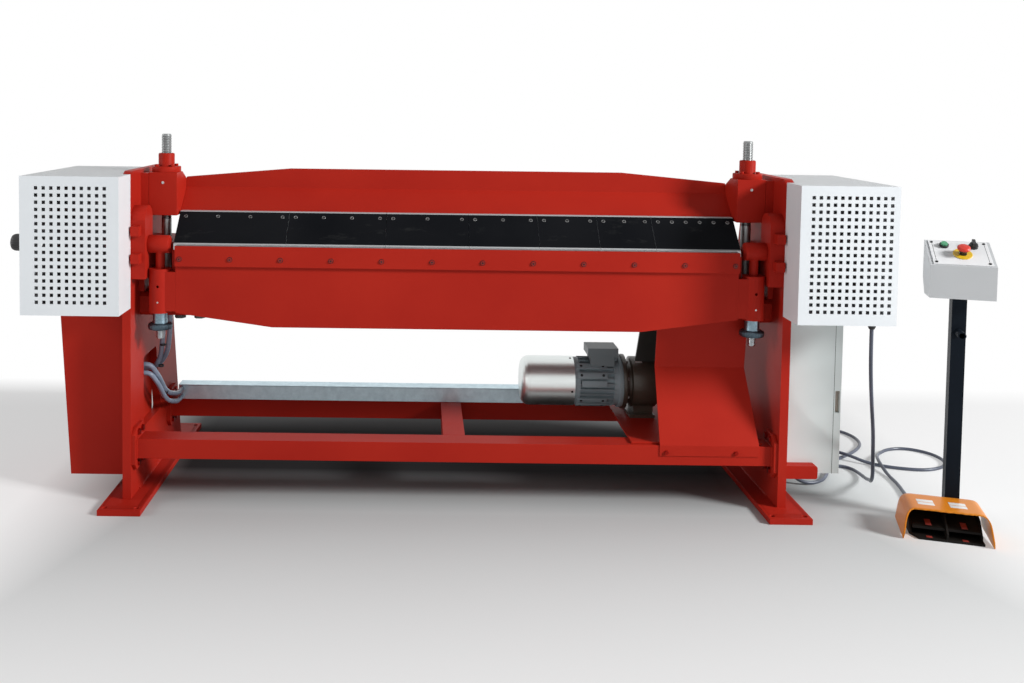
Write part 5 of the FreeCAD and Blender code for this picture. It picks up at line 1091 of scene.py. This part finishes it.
make_spindles()
make_fold_arms()
make_hand_nuts()
make_small_screws()
make_blade_screws()
make_knob()
make_cabinet_details()
make_panel_details()
make_hood()
make_pedal_details()
make_motor_details()
make_welds()
make_ties()


# Floor, light and air

FLOOR_REACH = 60
FLOOR_DROP = 0.0005
FLOOR_TONES = (0.515, 0.543, 0.545, 1), (0.545, 0.574, 0.576, 1)
FLOOR_PALE = (0.93, 0.93, 0.932, 1)
FLOOR_SHADE = (0.02, 0.019, 0.02, 1)
# Where the floor starts to pale or whiten, and where it has.
PALE_LEFT, PALE_RIGHT, PALE_FRONT = (-1.1, -1.55), (1.35, 1.95), (-0.45, -1.9)
WHITE_BACK = (0.75, 1.25)
# The machine's shade on the floor.
SHADE_FRONT, SHADE_BACK, SHADE_SIDE = (-0.42, 0.0), 0.75, 1.28
WORLD_LIGHT = 0.2


def make_floor():
    """A pale floor that fades to white behind the machine."""
    mesh = bpy.data.meshes.new("floor")
    mesh.from_pydata([(x, y, 0) for x, y in oblong(FLOOR_REACH, FLOOR_REACH)], [], [(0, 1, 2, 3)])
    floor = bpy.data.objects.new("floor", mesh)
    floor.location.z = -FLOOR_DROP
    bpy.context.scene.collection.objects.link(floor)
    made = Surface("floor_finish")
    cloud = made.ranged(made.noise(scale=0.6, detail=2), *NOISE_SPAN)
    made.base(made.mixed(cloud, *FLOOR_TONES))
    across = made.along("X")
    deep = made.along("Y")
    outward = made.maths("MAXIMUM", made.ranged(across, *PALE_LEFT),
                         made.ranged(across, *PALE_RIGHT))
    outward = made.maths("MAXIMUM", outward, made.ranged(deep, *PALE_FRONT))
    made.over(outward, FLOOR_PALE)
    under = made.maths("MULTIPLY", made.ranged(deep, *SHADE_FRONT),
                       made.below(deep, SHADE_BACK, soft=0.3))
    middle = made.below(made.maths("ABSOLUTE", across), SHADE_SIDE, soft=0.25)
    made.over(made.maths("MULTIPLY", under, middle), FLOOR_SHADE)
    made.set(Roughness=0.8, Specular_IOR_Level=0.05)
    far = made.maths("MAXIMUM", made.ranged(deep, *WHITE_BACK),
                     made.maths("MULTIPLY", outward, 0.45))
    glow = made.add("ShaderNodeEmission")
    glow.inputs["Strength"].default_value = 1.0
    mix = made.add("ShaderNodeMixShader")
    made.link(*far, mix, "Fac")
    made.link(made.shader, "BSDF", mix, 1)
    made.link(glow, "Emission", mix, 2)
    made.link(mix, "Shader", made.output, "Surface")
    floor.data.materials.append(made.material)


def make_world():
    """White for the camera and in mirrors, and a softer white light on the object."""
    world = bpy.data.worlds.new("air")
    world.use_nodes = True
    tree = world.node_tree
    tree.nodes.clear()
    output = tree.nodes.new("ShaderNodeOutputWorld")
    path = tree.nodes.new("ShaderNodeLightPath")
    seen = tree.nodes.new("ShaderNodeBackground")
    lit = tree.nodes.new("ShaderNodeBackground")
    for background, strength in ((seen, 1.0), (lit, WORLD_LIGHT)):
        background.inputs["Strength"].default_value = strength
        background.inputs["Color"].default_value = (1, 1, 1, 1)
    direct = path.outputs["Is Camera Ray"]
    for ray in ("Is Glossy Ray", "Is Transmission Ray"):
        either = tree.nodes.new("ShaderNodeMath")
        either.operation = "ADD"
        either.use_clamp = True
        tree.links.new(direct, either.inputs[0])
        tree.links.new(path.outputs[ray], either.inputs[1])
        direct = either.outputs[0]
    mix = tree.nodes.new("ShaderNodeMixShader")
    tree.links.new(direct, mix.inputs["Fac"])
    tree.links.new(lit.outputs["Background"], mix.inputs[1])
    tree.links.new(seen.outputs["Background"], mix.inputs[2])
    tree.links.new(mix.outputs["Shader"], output.inputs["Surface"])
    bpy.context.scene.world = world


def area_light(name, place, target, size, power):
    """A round lamp at a place, aimed at a target."""
    data = bpy.data.lights.new(name, "AREA")
    data.shape = "DISK"
    data.size = size
    data.energy = power
    light = bpy.data.objects.new(name, data)
    light.location = place
    away = Vector(place) - Vector(target)
    light.rotation_euler = away.to_track_quat("Z", "Y").to_euler()
    bpy.context.scene.collection.objects.link(light)


MACHINE_MIDDLE = (0, -0.2, 0.6)
make_floor()
make_world()
area_light("key", (10.5, -5.4, 6.2), MACHINE_MIDDLE, size=3.0, power=1800)
area_light("fill", (-7.0, -2.4, 2.6), MACHINE_MIDDLE, size=2.4, power=125)

bpy.context.scene.view_settings.view_transform = "Standard"
